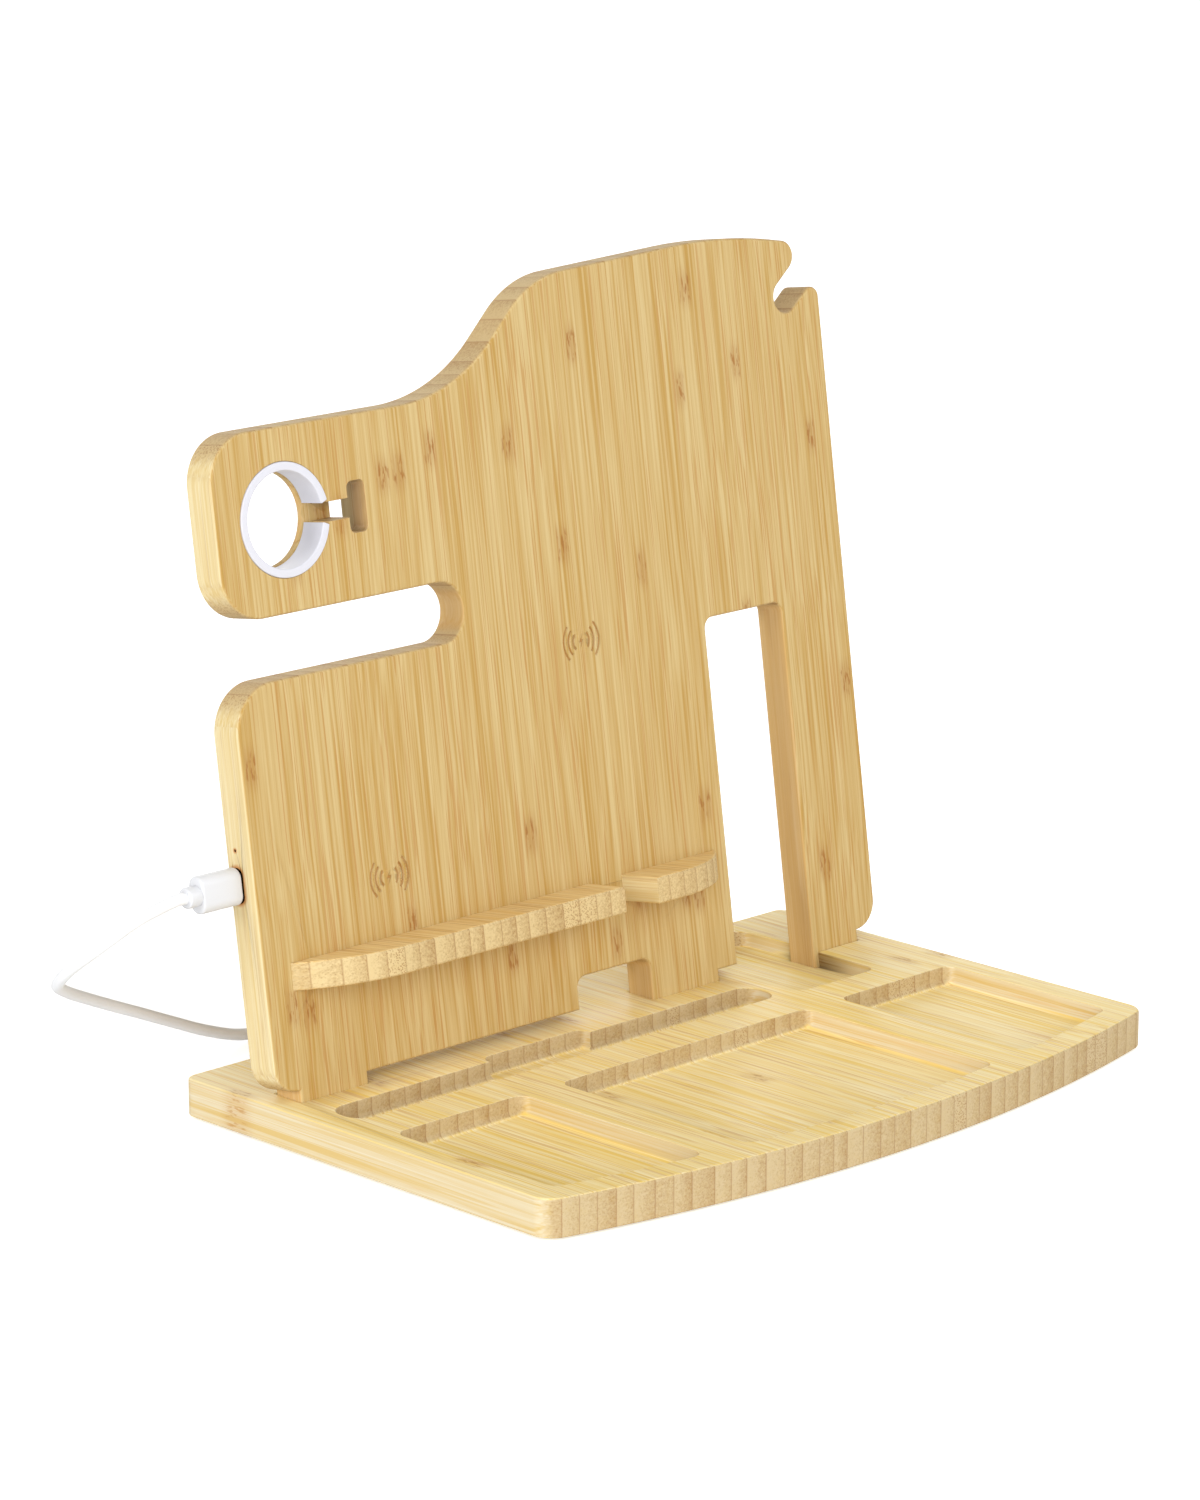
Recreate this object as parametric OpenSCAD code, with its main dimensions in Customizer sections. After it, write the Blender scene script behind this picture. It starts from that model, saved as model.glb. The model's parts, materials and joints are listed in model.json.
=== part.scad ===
// Charging station organizer: a leaning back board stands on three tabs in a routed base.
// Millimetres, +Z up, +X to the right seen from the front, the bowed front edge towards -Y.
// The origin lies on the table, under the middle of the base's width and depth.
// On the back board, u runs to the right, s up along the leaning front face from the base's top,
// and depth backwards, square to the board.

/* [Base] */
// Width of the base and of the back board
base_w = 262; // [250:1:300]
// Depth of the base, from the rear edge to the middle of the bowed front
base_d = 176; // [165:1:220]
// Thickness of the base
base_t = 12; // [11:0.5:18]
// Radius of the bowed front edge
bow_r = 500; // [350:10:900]
// Radius of the two rear corners in plan
rear_corner_r = 4; // [1:0.5:12]
// Radius of the two front corners in plan
front_corner_r = 8; // [2:0.5:16]
// Diameter of a rubber foot
foot_d = 12; // [8:0.5:18]
// Thickness of a rubber foot
foot_t = 2; // [1.5:0.1:3]
// How far the feet stand out of the underside
foot_proud = 0.8; // [0.4:0.1:1.2]
// Distance from the base's edges to the middle of a foot
foot_inset = 20; // [14:1:30]

/* [Trays] */
// Depth of the three trays and of the pen slot
tray_deep = 6; // [3:0.5:8]
// Width of the middle tray
mid_tray_w = 108; // [80:1:120]
// Width of the ribs between the trays, and between the trays and the pen slot
rib_w = 15.5; // [8:0.5:20]
// Width of the rim outside the trays
rim_w = 10; // [6:0.5:16]
// Corner radius of the trays
tray_r = 4; // [1:0.5:10]
// Width of the pen slot, from front to back
pen_w = 14.5; // [10:0.5:18]
// Radius of the pen slot's corners
pen_r = 6.5; // [2:0.5:7]
// Distance from the pen slot to the back board
pen_gap = 10; // [7:0.5:14]
// Length of the finger recess in the pen slot's rear wall
finger_w = 43; // [20:1:60]
// How far the finger recess reaches behind the pen slot
finger_deep = 4.4; // [2:0.2:5]
// Middle of the finger recess, from the left edge of the base
finger_at = 98; // [60:1:130]
// Corner radius of the finger recess
finger_r = 4; // [1:0.5:4]

/* [Rear pocket] */
// Depth of the pocket for an earbud case
case_deep = 5; // [3:0.5:8]
// Length of the pocket, from front to back
case_l = 61.3; // [45:0.5:80]
// Distance from the pocket to the rear edge of the base
case_rim = 9; // [5:0.5:16]
// Width of the rib between the pocket and the pen slot
case_rib = 6.7; // [4:0.1:12]
// Corner radius of the pocket
case_r = 5; // [2:0.5:10]
// How far the pocket reaches to the right of the tall cutout
case_over = 2; // [0.4:0.1:2.4]

/* [Back board] */
// Angle by which the board leans back
lean = 8; // [4:0.5:12]
// Thickness of the back board
board_t = 11.5; // [10.5:0.5:16]
// Gap under the board between its tabs, from the base's top
under_gap = 3.5; // [1:0.5:6]
// Radius of the two lower corners of the board
foot_corner_r = 9; // [3:0.5:12]
// Height of the phone block's top edge
block_h = 126.3; // [120:0.5:150]
// Height of the slot between the block and the arm
slot_h = 18.6; // [10:0.2:24]
// Length of that slot from the left edge
slot_l = 93.8; // [85:0.2:100]
// Height of the arm that carries the watch ring
arm_h = 55.4; // [46:0.2:62]
// Radius of the block's upper left corner
block_r = 15; // [4:0.5:20]
// Radius of the arm's two left corners
arm_r = 15; // [4:0.5:20]
// Where the arm's top edge turns up into the shoulder, from the left edge
bend_at = 99.1; // [96:0.1:104]
// Radius of that hollow bend
bend_r = 62; // [40:1:64]
// Where the shoulder turns into the crown, from the left edge
shoulder_at = 135.2; // [133:0.1:140]
// Height of the shoulder's corner above the arm
shoulder_rise = 32; // [28:0.5:36]
// Radius of the shoulder
shoulder_r = 38.4; // [20:0.2:40]
// Middle of the crown, from the right edge
crown_at = 41; // [38:0.5:46]
// Height of the crown's corner above the shoulder's
crown_rise = 3.8; // [1:0.1:5]
// Radius of the crown
crown_r = 200; // [100:5:210]

/* [Hook] */
// Width of the hooked slot for a headset or a lead
hook_w = 10.3; // [6:0.1:12]
// Angle at which the hooked slot rises
hook_angle = 37.5; // [34:0.5:42]
// Middle of the hooked slot's round end, from the right edge
hook_at = 15.5; // [13:0.1:18]
// Depth of the round end's middle below the crown's corner
hook_drop = 22.6; // [21:0.1:24]
// Length of the beak over the slot, from the round end's middle
beak_l = 19.5; // [18:0.1:20]
// Radius of the beak's tip
beak_r = 5; // [2:0.1:5.5]
// Radius of the lip under the slot
lip_r = 3.5; // [1:0.1:5]

/* [Cutout and leg] */
// Width of the leg at the right
leg_w = 30.6; // [26:0.2:36]
// Width of the tall cutout left of the leg
cut_w = 35.2; // [28:0.2:40]
// Height of the tall cutout
cut_h = 116.2; // [90:0.5:125]
// Corner radius of the cutout and of the cable notch
cut_r = 3.5; // [1:0.5:8]

/* [Tabs] */
// Depth of the tabs below the base's top
tab_h = 8; // [5:0.5:8]
// Corner radius of the tabs' lower ends
tab_r = 1; // [0.5:0.5:3]
// Left tab: distance from the left edge
tab_a_at = 9; // [8:0.5:16]
// Left tab: width
tab_a_w = 27; // [16:1:36]
// Middle tab: width
tab_b_w = 30; // [16:1:36]
// Right tab: width
tab_c_w = 21.3; // [14:0.1:21.5]
// Gap between a tab and the front of its slot
tab_front_gap = 0.15; // [0.1:0.05:0.5]
// Gap between a tab and the back of its slot
tab_rear_gap = 0.9; // [0.2:0.1:1.2]
// Gap between a tab and each end of its slot
tab_side_gap = 0.3; // [0.15:0.05:0.6]
// Gap between a tab's lower end and the bottom of its slot
tab_seat_gap = 0.2; // [0.1:0.05:0.4]

/* [Cable notch and ledges] */
// Middle of the cable notch, the ledges' gap and the upper charging spot, right of the base's middle
spine_u = 10.4; // [6:0.2:14]
// Width of the cable notch
notch_w = 32; // [20:0.5:36]
// Height of the cable notch
notch_h = 13.7; // [9:0.1:20]
// Height of the ledges' top face
ledge_h = 42.2; // [38:0.2:43]
// Thickness of the ledges
ledge_t = 8.5; // [7:0.5:10]
// How far the ledges stand out from the board
ledge_deep = 16; // [12:0.5:24]
// Radius of the ledges' bowed ends
ledge_bow_r = 40; // [30:1:60]
// Left end of the long ledge, from the left edge
ledge_inset = 10.5; // [8:0.5:20]
// Distance from the short ledge's end to the tall cutout
ledge_clear = 5.7; // [3:0.1:10]
// Width of the cable gap between the ledges
ledge_gap = 14.4; // [8:0.2:20]
// Diameter of the dowels that hold the ledges
dowel_d = 5; // [4:0.5:6]
// Length of the dowels
dowel_l = 14; // [12:0.5:15]
// How far the dowels reach into the board
dowel_in = 6.5; // [5.5:0.5:8]
// Distance of the outer dowels from the ledges' bowed ends
dowel_inset = 11.5; // [10.5:0.5:12.5]

/* [Watch ring] */
// Middle of the watch ring, from the left edge
ring_at = 26.85; // [24:0.05:30]
// Outer diameter of the ring
ring_d = 34.4; // [30:0.2:36]
// Wall of the ring
ring_wall = 2.6; // [1.6:0.1:3.4]
// Depth of the round seat for the ring
ring_seat = 9; // [6:0.5:9.5]
// How far the ring stands out of the board's front
ring_proud = 0.3; // [0:0.1:1]
// Width of the ring's opening and of the cable channel
ring_gap = 5.8; // [4:0.1:7]
// Bevel on the lips of the ring's opening
ring_bevel = 1; // [0.4:0.1:1.4]
// Clearance round the ring
ring_fit = 0.1; // [0.05:0.05:0.2]
// Width of the cross slot at the end of the channel
cross_w = 7; // [5:0.2:10]
// Height of the cross slot
cross_h = 15.6; // [10:0.2:24]
// Corner radius of the cross slot
cross_r = 2; // [1:0.1:2.4]
// Middle of the cross slot, from the left edge
cross_at = 55.5; // [52:0.5:60]

/* [Charging electronics] */
// Middle of the lower charging spot, from the left edge
low_at = 52.7; // [52:0.1:60]
// How far the lower charging spot lies below the port
low_drop = 7; // [4:0.1:7.2]
// Height of the upper charging spot
high_h = 117.9; // [117:0.1:121]
// Wood left in front of the coils
skin_t = 3.2; // [2.5:0.1:4]
// Outer diameter of a charging coil
coil_od = 43; // [38:0.5:48]
// Inner diameter of a charging coil
coil_id = 20; // [14:0.5:26]
// Thickness of a charging coil
coil_t = 1.2; // [0.8:0.1:1.3]
// Side of a ferrite plate
ferrite_w = 49.4; // [49:0.2:49.8]
// Thickness of a ferrite plate
ferrite_t = 0.8; // [0.5:0.1:1]
// Clearance round a ferrite plate in its pocket
pocket_gap = 0.6; // [0.3:0.1:0.8]
// Depth of the circuit board's front face
pcb_at = 5.5; // [5:0.1:5.6]
// Thickness of the circuit board
pcb_t = 1.2; // [0.8:0.1:1.2]
// Width of the circuit board
pcb_w = 19.5; // [18:0.1:19.6]
// Height of the circuit board
pcb_h = 41; // [36:0.5:43]
// Diameter of a lead between the circuit board and a coil
lead_d = 1; // [0.6:0.1:1.2]

/* [Rear cover] */
// Thickness of the rear cover
cover_t = 1.4; // [1.2:0.1:2]
// Width of the rim on which the cover rests
cover_rim = 6; // [5.6:0.1:7]
// Gap round the cover
cover_gap = 0.2; // [0.1:0.05:0.4]
// Head diameter of a cover screw
screw_head_d = 4.4; // [3.6:0.1:4.8]
// Shank diameter of a cover screw
screw_d = 2; // [1.4:0.1:2.4]
// Length of a cover screw
screw_l = 6; // [4:0.5:8]

/* [Port and status light] */
// Wood between the board's left edge and the electronics
edge_wall = 7; // [6:0.1:7.4]
// Height of the port's middle
port_h = 67.2; // [66:0.2:70]
// Height of the port's window in the edge
window_h = 10.8; // [10:0.2:12]
// Depth at which the window starts
window_at = 5; // [4.6:0.1:5.1]
// Corner radius of the window
window_r = 2.4; // [1:0.1:2.4]
// Height of the status light's pinhole above the port's middle
light_rise = 10.6; // [9.4:0.1:12.8]
// Depth of the pinhole's axis
light_at = 7.2; // [7:0.1:8]
// Diameter of the pinhole
light_d = 0.9; // [0.8:0.1:1.6]
// How far the light pipe's tip lies inside the pinhole
light_in = 4; // [0.5:0.5:5]

/* [Cable] */
// Diameter of the power cord
cord_d = 3.8; // [3:0.1:4.2]
// Width of the plug's grip, up the board
plug_w = 11.4; // [9:0.1:12.4]
// Thickness of the plug's grip
plug_t = 6.8; // [5:0.1:7.4]
// Length of the plug's grip
plug_l = 15.2; // [12:0.2:20]
// Rounding of the grip's two ends
plug_round = 0.8; // [0.3:0.1:1.5]
// Length of the round collar behind the grip
collar_l = 4.3; // [3:0.1:7]
// Diameter of the collar
collar_d = 6.4; // [5:0.1:7]
// Gap between the grip and the board's edge
plug_gap = 0.3; // [0.2:0.1:0.8]
// Turns of the wound cord in each of its two layers
coil_turns = 3; // [1:1:4]
// Radius of the wound cord at the middle of its turns
coil_mid_r = 19.2; // [19:0.2:22]
// Least gap between neighbouring turns
coil_air = 0.5; // [0.45:0.05:1]
// Width of a cable tie
tie_w = 6; // [3:0.5:10]
// Thickness of a cable tie
tie_t = 0.8; // [0.6:0.1:1.2]
// Width of the far plug's grip
far_w = 15.6; // [14:0.2:18]
// Thickness of the far plug's grip
far_t = 8; // [7:0.2:9]
// Length of the far plug's grip
far_l = 20; // [16:0.5:26]
// Length of the far plug's metal shell outside its grip
far_shell_l = 12; // [10:0.5:13]

/* [Hidden] */

$fn = 96;
// How far the straight steps along an arc may lie from it
arc_error = 0.01;
over = 1;
small_gap = 0.1;

// Places on the base
left = -base_w / 2;
right = base_w / 2;
front_y = -base_d / 2;
rear_y = base_d / 2;
base_top = foot_proud + base_t;
bow_y = front_y + bow_r;

// Heights on the back board
arm_low = block_h + slot_h;
arm_top = arm_low + arm_h;
arm_mid = arm_low + arm_h / 2;
shoulder_s = arm_top + shoulder_rise;
crown_s = shoulder_s + crown_rise;
crown_u = right - crown_at;
shoulder_u = left + shoulder_at;

// The hooked slot in the upper right corner: along it, and square to it
hook_dir = [cos(hook_angle), sin(hook_angle)];
hook_up = [-sin(hook_angle), cos(hook_angle)];
hook_mid = [right - hook_at, crown_s - hook_drop];
beak_tip = hook_mid + beak_l * hook_dir + hook_w / 2 * hook_up;
lip_run = (hook_at - hook_w / 2 * sin(hook_angle)) / cos(hook_angle);
lip_tip = hook_mid + lip_run * hook_dir - hook_w / 2 * hook_up;

// The crown is an arc between two lines, so its highest point lies below their corner
rise_in = atan2(crown_s - shoulder_s, crown_u - shoulder_u);
fall_out = atan2(crown_s - beak_tip[1], beak_tip[0] - crown_u);
crown_half = (rise_in + fall_out) / 2;
crown_tilt = (fall_out - rise_in) / 2;
board_top = crown_s + crown_r - crown_r * cos(crown_tilt) / cos(crown_half);

// Where the board's front face meets the base's top: its rear top edge is flush with the base
board_y = rear_y - board_top * sin(lean) - board_t * cos(lean);

// Places along the board
cut_u1 = right - leg_w;
cut_u0 = cut_u1 - cut_w;
slot_u = left + slot_l;
ring_u = left + ring_at;
cross_u = left + cross_at;
low_u = left + low_at;
low_h = port_h - low_drop;
light_h = port_h + light_rise;
low_spot = [low_u, low_h];
high_spot = [spine_u, high_h];
tab_a = [left + tab_a_at, left + tab_a_at + tab_a_w];
tab_b = [spine_u + notch_w / 2, spine_u + notch_w / 2 + tab_b_w];
tab_c = [cut_u1, cut_u1 + tab_c_w];

// The routed pen slot and pocket follow the back board
pen_rear = board_y - pen_gap;
pen_front = pen_rear - pen_w;
tray_rear = pen_front - rib_w;
case_rear = rear_y - case_rim;
pen_end = cut_u0 - case_rib;

// The ledges
ledge_u0 = left + ledge_inset;
ledge_u1 = cut_u0 - ledge_clear;
ledge_behind = ledge_bow_r - ledge_deep;
ledge_end = sqrt(pow(ledge_bow_r, 2) - pow(ledge_behind, 2));
gap_u0 = spine_u - ledge_gap / 2;
gap_u1 = spine_u + ledge_gap / 2;
dowel_end = 8.5;
dowel_step = 25;
dowel_s = ledge_h - ledge_t / 2;
dowel_gap = 0.1;
dowels_long = [ledge_u0 + dowel_inset, gap_u0 - dowel_end - dowel_step, gap_u0 - dowel_end];
dowels_short = [gap_u1 + dowel_end, ledge_u1 - dowel_inset];

// The electronics recess, from the coils backwards
ferrite_at = skin_t + small_gap + coil_t + small_gap;
pocket_half = ferrite_w / 2 + pocket_gap;
pocket_r = 3;
pcb_u0 = left + edge_wall + small_gap;
pcb_u1 = pcb_u0 + pcb_w;
pcb_s0 = low_h + pocket_half - pcb_h - pocket_gap;
pcb_back = pcb_at + pcb_t;
tongue_out = 2.2;
notch_lead = 10;
channel_at = 6;
channel_w = 10;
channel_s = low_h + pocket_half - channel_w - 2;
channel_u = spine_u - channel_w / 2;
cover_at = board_t - cover_t;
window_round = min(window_r, 0.48 * (cover_at - window_at));
tongue_w = window_h - 2 * window_round;
cover_r = 4;
cover_u0 = left + edge_wall - 3;
cover_u1 = spine_u + pocket_half + cover_rim;
cover_u2 = spine_u - pocket_half - cover_rim;
cover_s0 = low_h - pocket_half - cover_rim;
cover_s1 = low_h + pocket_half + cover_rim;
cover_s2 = high_h + pocket_half + cover_rim;
screw_in = cover_rim / 2;
screw_us = [cover_u0 + 15, cover_u2 - 20];
screws = [
    [screw_us[0], cover_s0 + screw_in],
    [screw_us[1], cover_s0 + screw_in],
    [cover_u1 - screw_in, cover_s0 + screw_in],
    [cover_u1 - screw_in, (cover_s0 + cover_s2) / 2],
    [cover_u1 - screw_in, cover_s2 - screw_in],
    [cover_u2 + screw_in, cover_s2 - screw_in],
    [screw_us[1], cover_s1 - screw_in],
    [screw_us[0], cover_s1 - screw_in]
];

// The engraved charging marks: three arcs on each side of a bolt
mark_deep = 0.4;
mark_line = 0.95;
mark_radii = [3.4, 5.5, 7.6];
mark_span = 44;
bolt_w = 2.2;
bolt_h = 4.9;

// The port: socket and plug share one axis
socket_h = 3.2;
socket_w = 9;
socket_wall = 0.3;
socket_l = 7.5;
socket_in = 0.3;
shell_w = 8.25;
shell_t = 2.4;
shell_wall = 0.35;
shell_in = 6.3;
tongue_t = 0.7;
port_at = pcb_back + socket_h / 2;
plug_end = plug_gap + plug_l + collar_l;

// The wound cord lies on the table behind the base
pitch = cord_d + coil_air;
coil_c = [5, rear_y + 31];
coil_out_r = coil_mid_r + coil_turns * pitch / 2;
coil_in_r = coil_out_r - coil_turns * pitch;
tie_lift = 0.1;
coil_z = tie_lift + tie_t + small_gap + cord_d / 2;
coil_steps = 24;
coil_sides = 6;
far_z = far_t / 2 + 0.05;
far_reach = 31;
far_collar_l = 7;
far_u = coil_c[0] + far_reach;
far_y = coil_c[1] + coil_out_r;

// The points along the cord from the plug to the coil, on a smooth curve
cord_start = [
    left - plug_end,
    board_y + port_h * sin(lean) + port_at * cos(lean),
    base_top + port_h * cos(lean) - port_at * sin(lean)
];
coil_start = [coil_c[0] - cord_d, coil_c[1] + coil_out_r, coil_z];
cord_route = concat(
    [cord_start, cord_start + [-4, 0, 0]],
    [
        [-168, 63, 74.5],
        [-175.5, 70, 67],
        [-177.5, 82, 58],
        [-172.5, 94.5, 50],
        [-163.5, 106, 44],
        [-152.5, 114.5, 38],
        [-140, 121, 32],
        [-127, 126, 26],
        [-113.5, 129, 20],
        [-99, 131, 13.5],
        [-85, 131.5, 7.5],
        [-71, 131.5, 3],
        [-57, 132.5, 1.9],
        [-43, 135, 1.9],
        [-29.5, 139, 1.9],
        [-16, 142.8, 2.2]
    ],
    [coil_start - [5, 0, 0], coil_start]
);
cord_sides = 8;

// The way from the top layer of the coil down to the far plug, along X and Z
coil_tail = [[5, 0], [10, -0.1], [15, -0.7], [20, -1.9], [24, -2.8], [27, -3.1]];

// Points and frames

function unit(v) = v / norm(v);

// The points along an arc round a middle, from angle a to angle b
function arc(mid, r, a, b) =
    let (n = max(2, ceil(abs(b - a) / (2 * acos(1 - arc_error / r)))))
    [for (i = [0 : n]) let (t = a + (b - a) * i / n) mid + r * [cos(t), sin(t)]];

// A corner [u, s, r] of an outline between its neighbours, as a point or as an arc
function corner_points(a, b, c) =
    let (
        p = [b[0], b[1]],
        e1 = unit([a[0], a[1]] - p),
        e2 = unit([c[0], c[1]] - p),
        half = acos(e1 * e2) / 2,
        inward = unit(e1 + e2),
        swing = (turns_left(a, b, c) ? 1 : -1) * (90 - half),
        t = atan2(-inward[1], -inward[0])
    )
    b[2] == 0 ? [p] : arc(p + inward * b[2] / sin(half), b[2], t - swing, t + swing);

function turns_left(a, b, c) =
    (b[0] - a[0]) * (c[1] - b[1]) - (b[1] - a[1]) * (c[0] - b[0]) > 0;

// The points of an outline, without those that fall together where two arcs meet
function distinct(p) = [for (i = [0 : len(p) - 1]) if (norm(p[i] - p[(i + 1) % len(p)]) > 0.001) p[i]];

// A point on the smooth curve through four points, at a share f of the way from b to c
function between(a, b, c, d, f) =
    b + f * (c - a) / 2
    + f * f * (a - 2.5 * b + 2 * c - d / 2)
    + f * f * f * (-a / 2 + 1.5 * b - 1.5 * c + d / 2);

// A route with one point added in the middle of each step
function smoothed(p) =
    let (last = len(p) - 1)
    [
        for (i = [0 : 2 * last])
            i % 2 == 0
            ? p[i / 2]
            : between(
                p[max(0, (i - 3) / 2)], p[(i - 1) / 2], p[(i + 1) / 2], p[min(last, (i + 3) / 2)], 0.5
            )
    ];

// The direction of a route at point i
function heading(p, i) = unit(p[min(len(p) - 1, i + 1)] - p[max(0, i - 1)]);

// A ring of points round a route at point i, turned by a direction that the route never takes
function tube_ring(p, i, r, sides, ref) =
    let (
        t = heading(p, i),
        side = unit(cross(t, ref)),
        up = cross(side, t)
    )
    [
        for (k = [0 : sides - 1])
            let (a = (k + 0.5) * 360 / sides)
            p[i] + r * (cos(a) * side + sin(a) * up)
    ];

function tube_length(p) =
    [for (i = [1 : len(p) - 1]) norm(p[i] - p[i - 1])] * [for (i = [1 : len(p) - 1]) 1];

// The wound cord: in along the lower layer, up in the half turn where it turns back, out again
function eased(x) = let (f = min(1, max(0, x))) f * f * (3 - 2 * f);

function coil_radius(turn) =
    turn < coil_turns ? coil_out_r - pitch * turn : coil_in_r + pitch * (turn - coil_turns);

function coil_point(turn) =
    let (
        r = coil_radius(turn),
        a = 90 - 360 * turn
    )
    [
        coil_c[0] + r * cos(a),
        coil_c[1] + r * sin(a),
        coil_z + pitch * eased(2 * (turn - coil_turns) + 0.5)
    ];

coil_top = coil_point(2 * coil_turns);
coil_path = concat(
    [coil_start],
    [for (i = [0 : 2 * coil_turns * coil_steps]) coil_point(i / coil_steps)],
    [for (t = coil_tail) coil_top + [t[0], 0, t[1]]],
    [[far_u, far_y, far_z]]
);
coil_gap = min([
    for (i = [0 : len(coil_path) - 1])
        for (j = [i + 12 : 1 : len(coil_path) - 1])
            norm(coil_path[i] - coil_path[j])
]) - cord_d;
echo(coil_least_gap = coil_gap);
echo(cord_length = tube_length(smoothed(cord_route)) + tube_length(coil_path));

// Shared shapes

// A closed outline from corners [u, s, r], listed counterclockwise
module rounded_outline(corners) {
    n = len(corners);
    polygon(distinct([
        for (i = [0 : n - 1])
            each corner_points(corners[(i + n - 1) % n], corners[i], corners[(i + 1) % n])
    ]));
}

module soft_rect(u0, s0, u1, s1, r) {
    rounded_outline([[u0, s0, r], [u1, s0, r], [u1, s1, r], [u0, s1, r]]);
}

// A plan whose front follows the bowed edge at radius bow, with rounded corners
module bowed_plan(x0, x1, y1, bow, front_r, back_r) {
    mids = [
        for (x = [x0 + front_r, x1 - front_r])
            [x, bow_y - sqrt(pow(bow - front_r, 2) - x * x)]
    ];
    out = [for (m = mids) atan2(m[1] - bow_y, m[0])];
    polygon(distinct(concat(
        arc(mids[0], front_r, -180, out[0]),
        arc([0, bow_y], bow, out[0], out[1]),
        arc(mids[1], front_r, out[1], 0),
        arc([x1 - back_r, y1 - back_r], back_r, 0, 90),
        arc([x0 + back_r, y1 - back_r], back_r, 90, 180)
    )));
}

// Places a shape drawn in u, depth and s on the leaning board
module on_board() {
    translate([0, board_y, base_top])
        rotate([-lean, 0, 0])
            children();
}

// Cuts a drawing in u and s out of the depths d0 to d1
module slab(d0, d1) {
    translate([0, d1, 0])
        rotate([90, 0, 0])
            linear_extrude(d1 - d0)
                children();
}

module rod(at, d0, d1, r) {
    translate([at[0], d0, at[1]])
        rotate([-90, 0, 0])
            cylinder(h = d1 - d0, r = r);
}

// A flat pill, w by t across and drawn from x0 to x1 along X, its middle on the X axis
module pill(x0, x1, t, w) {
    translate([x0, 0, 0])
        rotate([90, 0, 90])
            linear_extrude(x1 - x0)
                soft_rect(-t / 2, -w / 2, t / 2, w / 2, t / 2);
}

// A closed skin over a row of rings that have the same number of points
module loft(rings) {
    n = len(rings);
    sides = len(rings[0]);
    walls = [
        for (i = [0 : n - 2])
            for (k = [0 : sides - 1])
                let (
                    a = i * sides + k,
                    b = i * sides + (k + 1) % sides
                )
                each [[a, b, b + sides], [a, b + sides, a + sides]]
    ];
    first = [for (k = [1 : sides - 2]) [0, k + 1, k]];
    base = (n - 1) * sides;
    last = [for (k = [1 : sides - 2]) [base, base + k, base + k + 1]];
    polyhedron(points = [for (ring = rings) each ring], faces = concat(walls, first, last));
}

module tube(path, r, sides, ref = [0, 0, 1]) {
    loft([for (i = [0 : len(path) - 1]) tube_ring(path, i, r, sides, ref)]);
}

// The base

module base_board() {
    color("burlywood")
        difference() {
            translate([0, 0, foot_proud])
                linear_extrude(base_t)
                    bowed_plan(left, right, rear_y, bow_r, front_corner_r, rear_corner_r);
            translate([0, 0, base_top - tray_deep])
                linear_extrude(tray_deep + over)
                    trays();
            translate([0, 0, base_top - case_deep])
                linear_extrude(case_deep + over)
                    soft_rect(cut_u0, case_rear - case_l, cut_u1 + case_over, case_rear, case_r);
            for (tab = [tab_a, tab_b, tab_c])
                tab_slot(tab);
            for (p = foot_places())
                translate([p[0], p[1], 0])
                    cylinder(h = foot_t, r = foot_d / 2 + small_gap);
        }
}

module trays() {
    inner = mid_tray_w / 2;
    outer = right - rim_w;
    tray_bow = bow_r - rim_w;
    bowed_plan(-inner, inner, tray_rear, tray_bow, tray_r, tray_r);
    bowed_plan(-outer, -inner - rib_w, tray_rear, tray_bow, tray_r, tray_r);
    bowed_plan(inner + rib_w, outer, tray_rear, tray_bow, tray_r, tray_r);
    soft_rect(left + rim_w, pen_front, pen_end, pen_rear, pen_r);
    finger_x = left + finger_at;
    soft_rect(
        finger_x - finger_w / 2, pen_rear - pen_w / 2,
        finger_x + finger_w / 2, pen_rear + finger_deep,
        finger_r
    );
}

// A slot leans with the board, so the board lifts straight out of it
module tab_slot(tab) {
    on_board()
        translate([tab[0] - tab_side_gap, -tab_front_gap, -tab_h - tab_seat_gap])
            cube([
                tab[1] - tab[0] + 2 * tab_side_gap,
                board_t + tab_front_gap + tab_rear_gap,
                tab_h + tab_seat_gap + base_t
            ]);
}

function foot_places() = [
    for (x = [left + foot_inset, right - foot_inset])
        for (y = [bow_y - sqrt(bow_r * bow_r - x * x) + foot_inset, rear_y - foot_inset])
            [x, y]
];

module feet() {
    color("dimgray")
        for (p = foot_places())
            translate([p[0], p[1], 0])
                cylinder(h = foot_t, r = foot_d / 2);
}

// The back board

function board_corners() = [
    [left, under_gap, foot_corner_r],
    [tab_a[0], under_gap, 0],
    [tab_a[0], -tab_h, tab_r],
    [tab_a[1], -tab_h, tab_r],
    [tab_a[1], under_gap, 0],
    [spine_u - notch_w / 2, under_gap, 0],
    [spine_u - notch_w / 2, notch_h, cut_r],
    [tab_b[0], notch_h, cut_r],
    [tab_b[0], -tab_h, tab_r],
    [tab_b[1], -tab_h, tab_r],
    [tab_b[1], under_gap, 0],
    [cut_u0, under_gap, 0],
    [cut_u0, cut_h, cut_r],
    [cut_u1, cut_h, cut_r],
    [cut_u1, -tab_h, tab_r],
    [tab_c[1], -tab_h, tab_r],
    [tab_c[1], under_gap, 0],
    [right, under_gap, foot_corner_r],
    [lip_tip[0], lip_tip[1], lip_r],
    hook_end(-1),
    hook_end(1),
    [beak_tip[0], beak_tip[1], beak_r],
    [crown_u, crown_s, crown_r],
    [shoulder_u, shoulder_s, shoulder_r],
    [left + bend_at, arm_top, bend_r],
    [left, arm_top, arm_r],
    [left, arm_low, arm_r],
    [slot_u, arm_low, slot_h / 2],
    [slot_u, block_h, slot_h / 2],
    [left, block_h, block_r]
];

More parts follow.
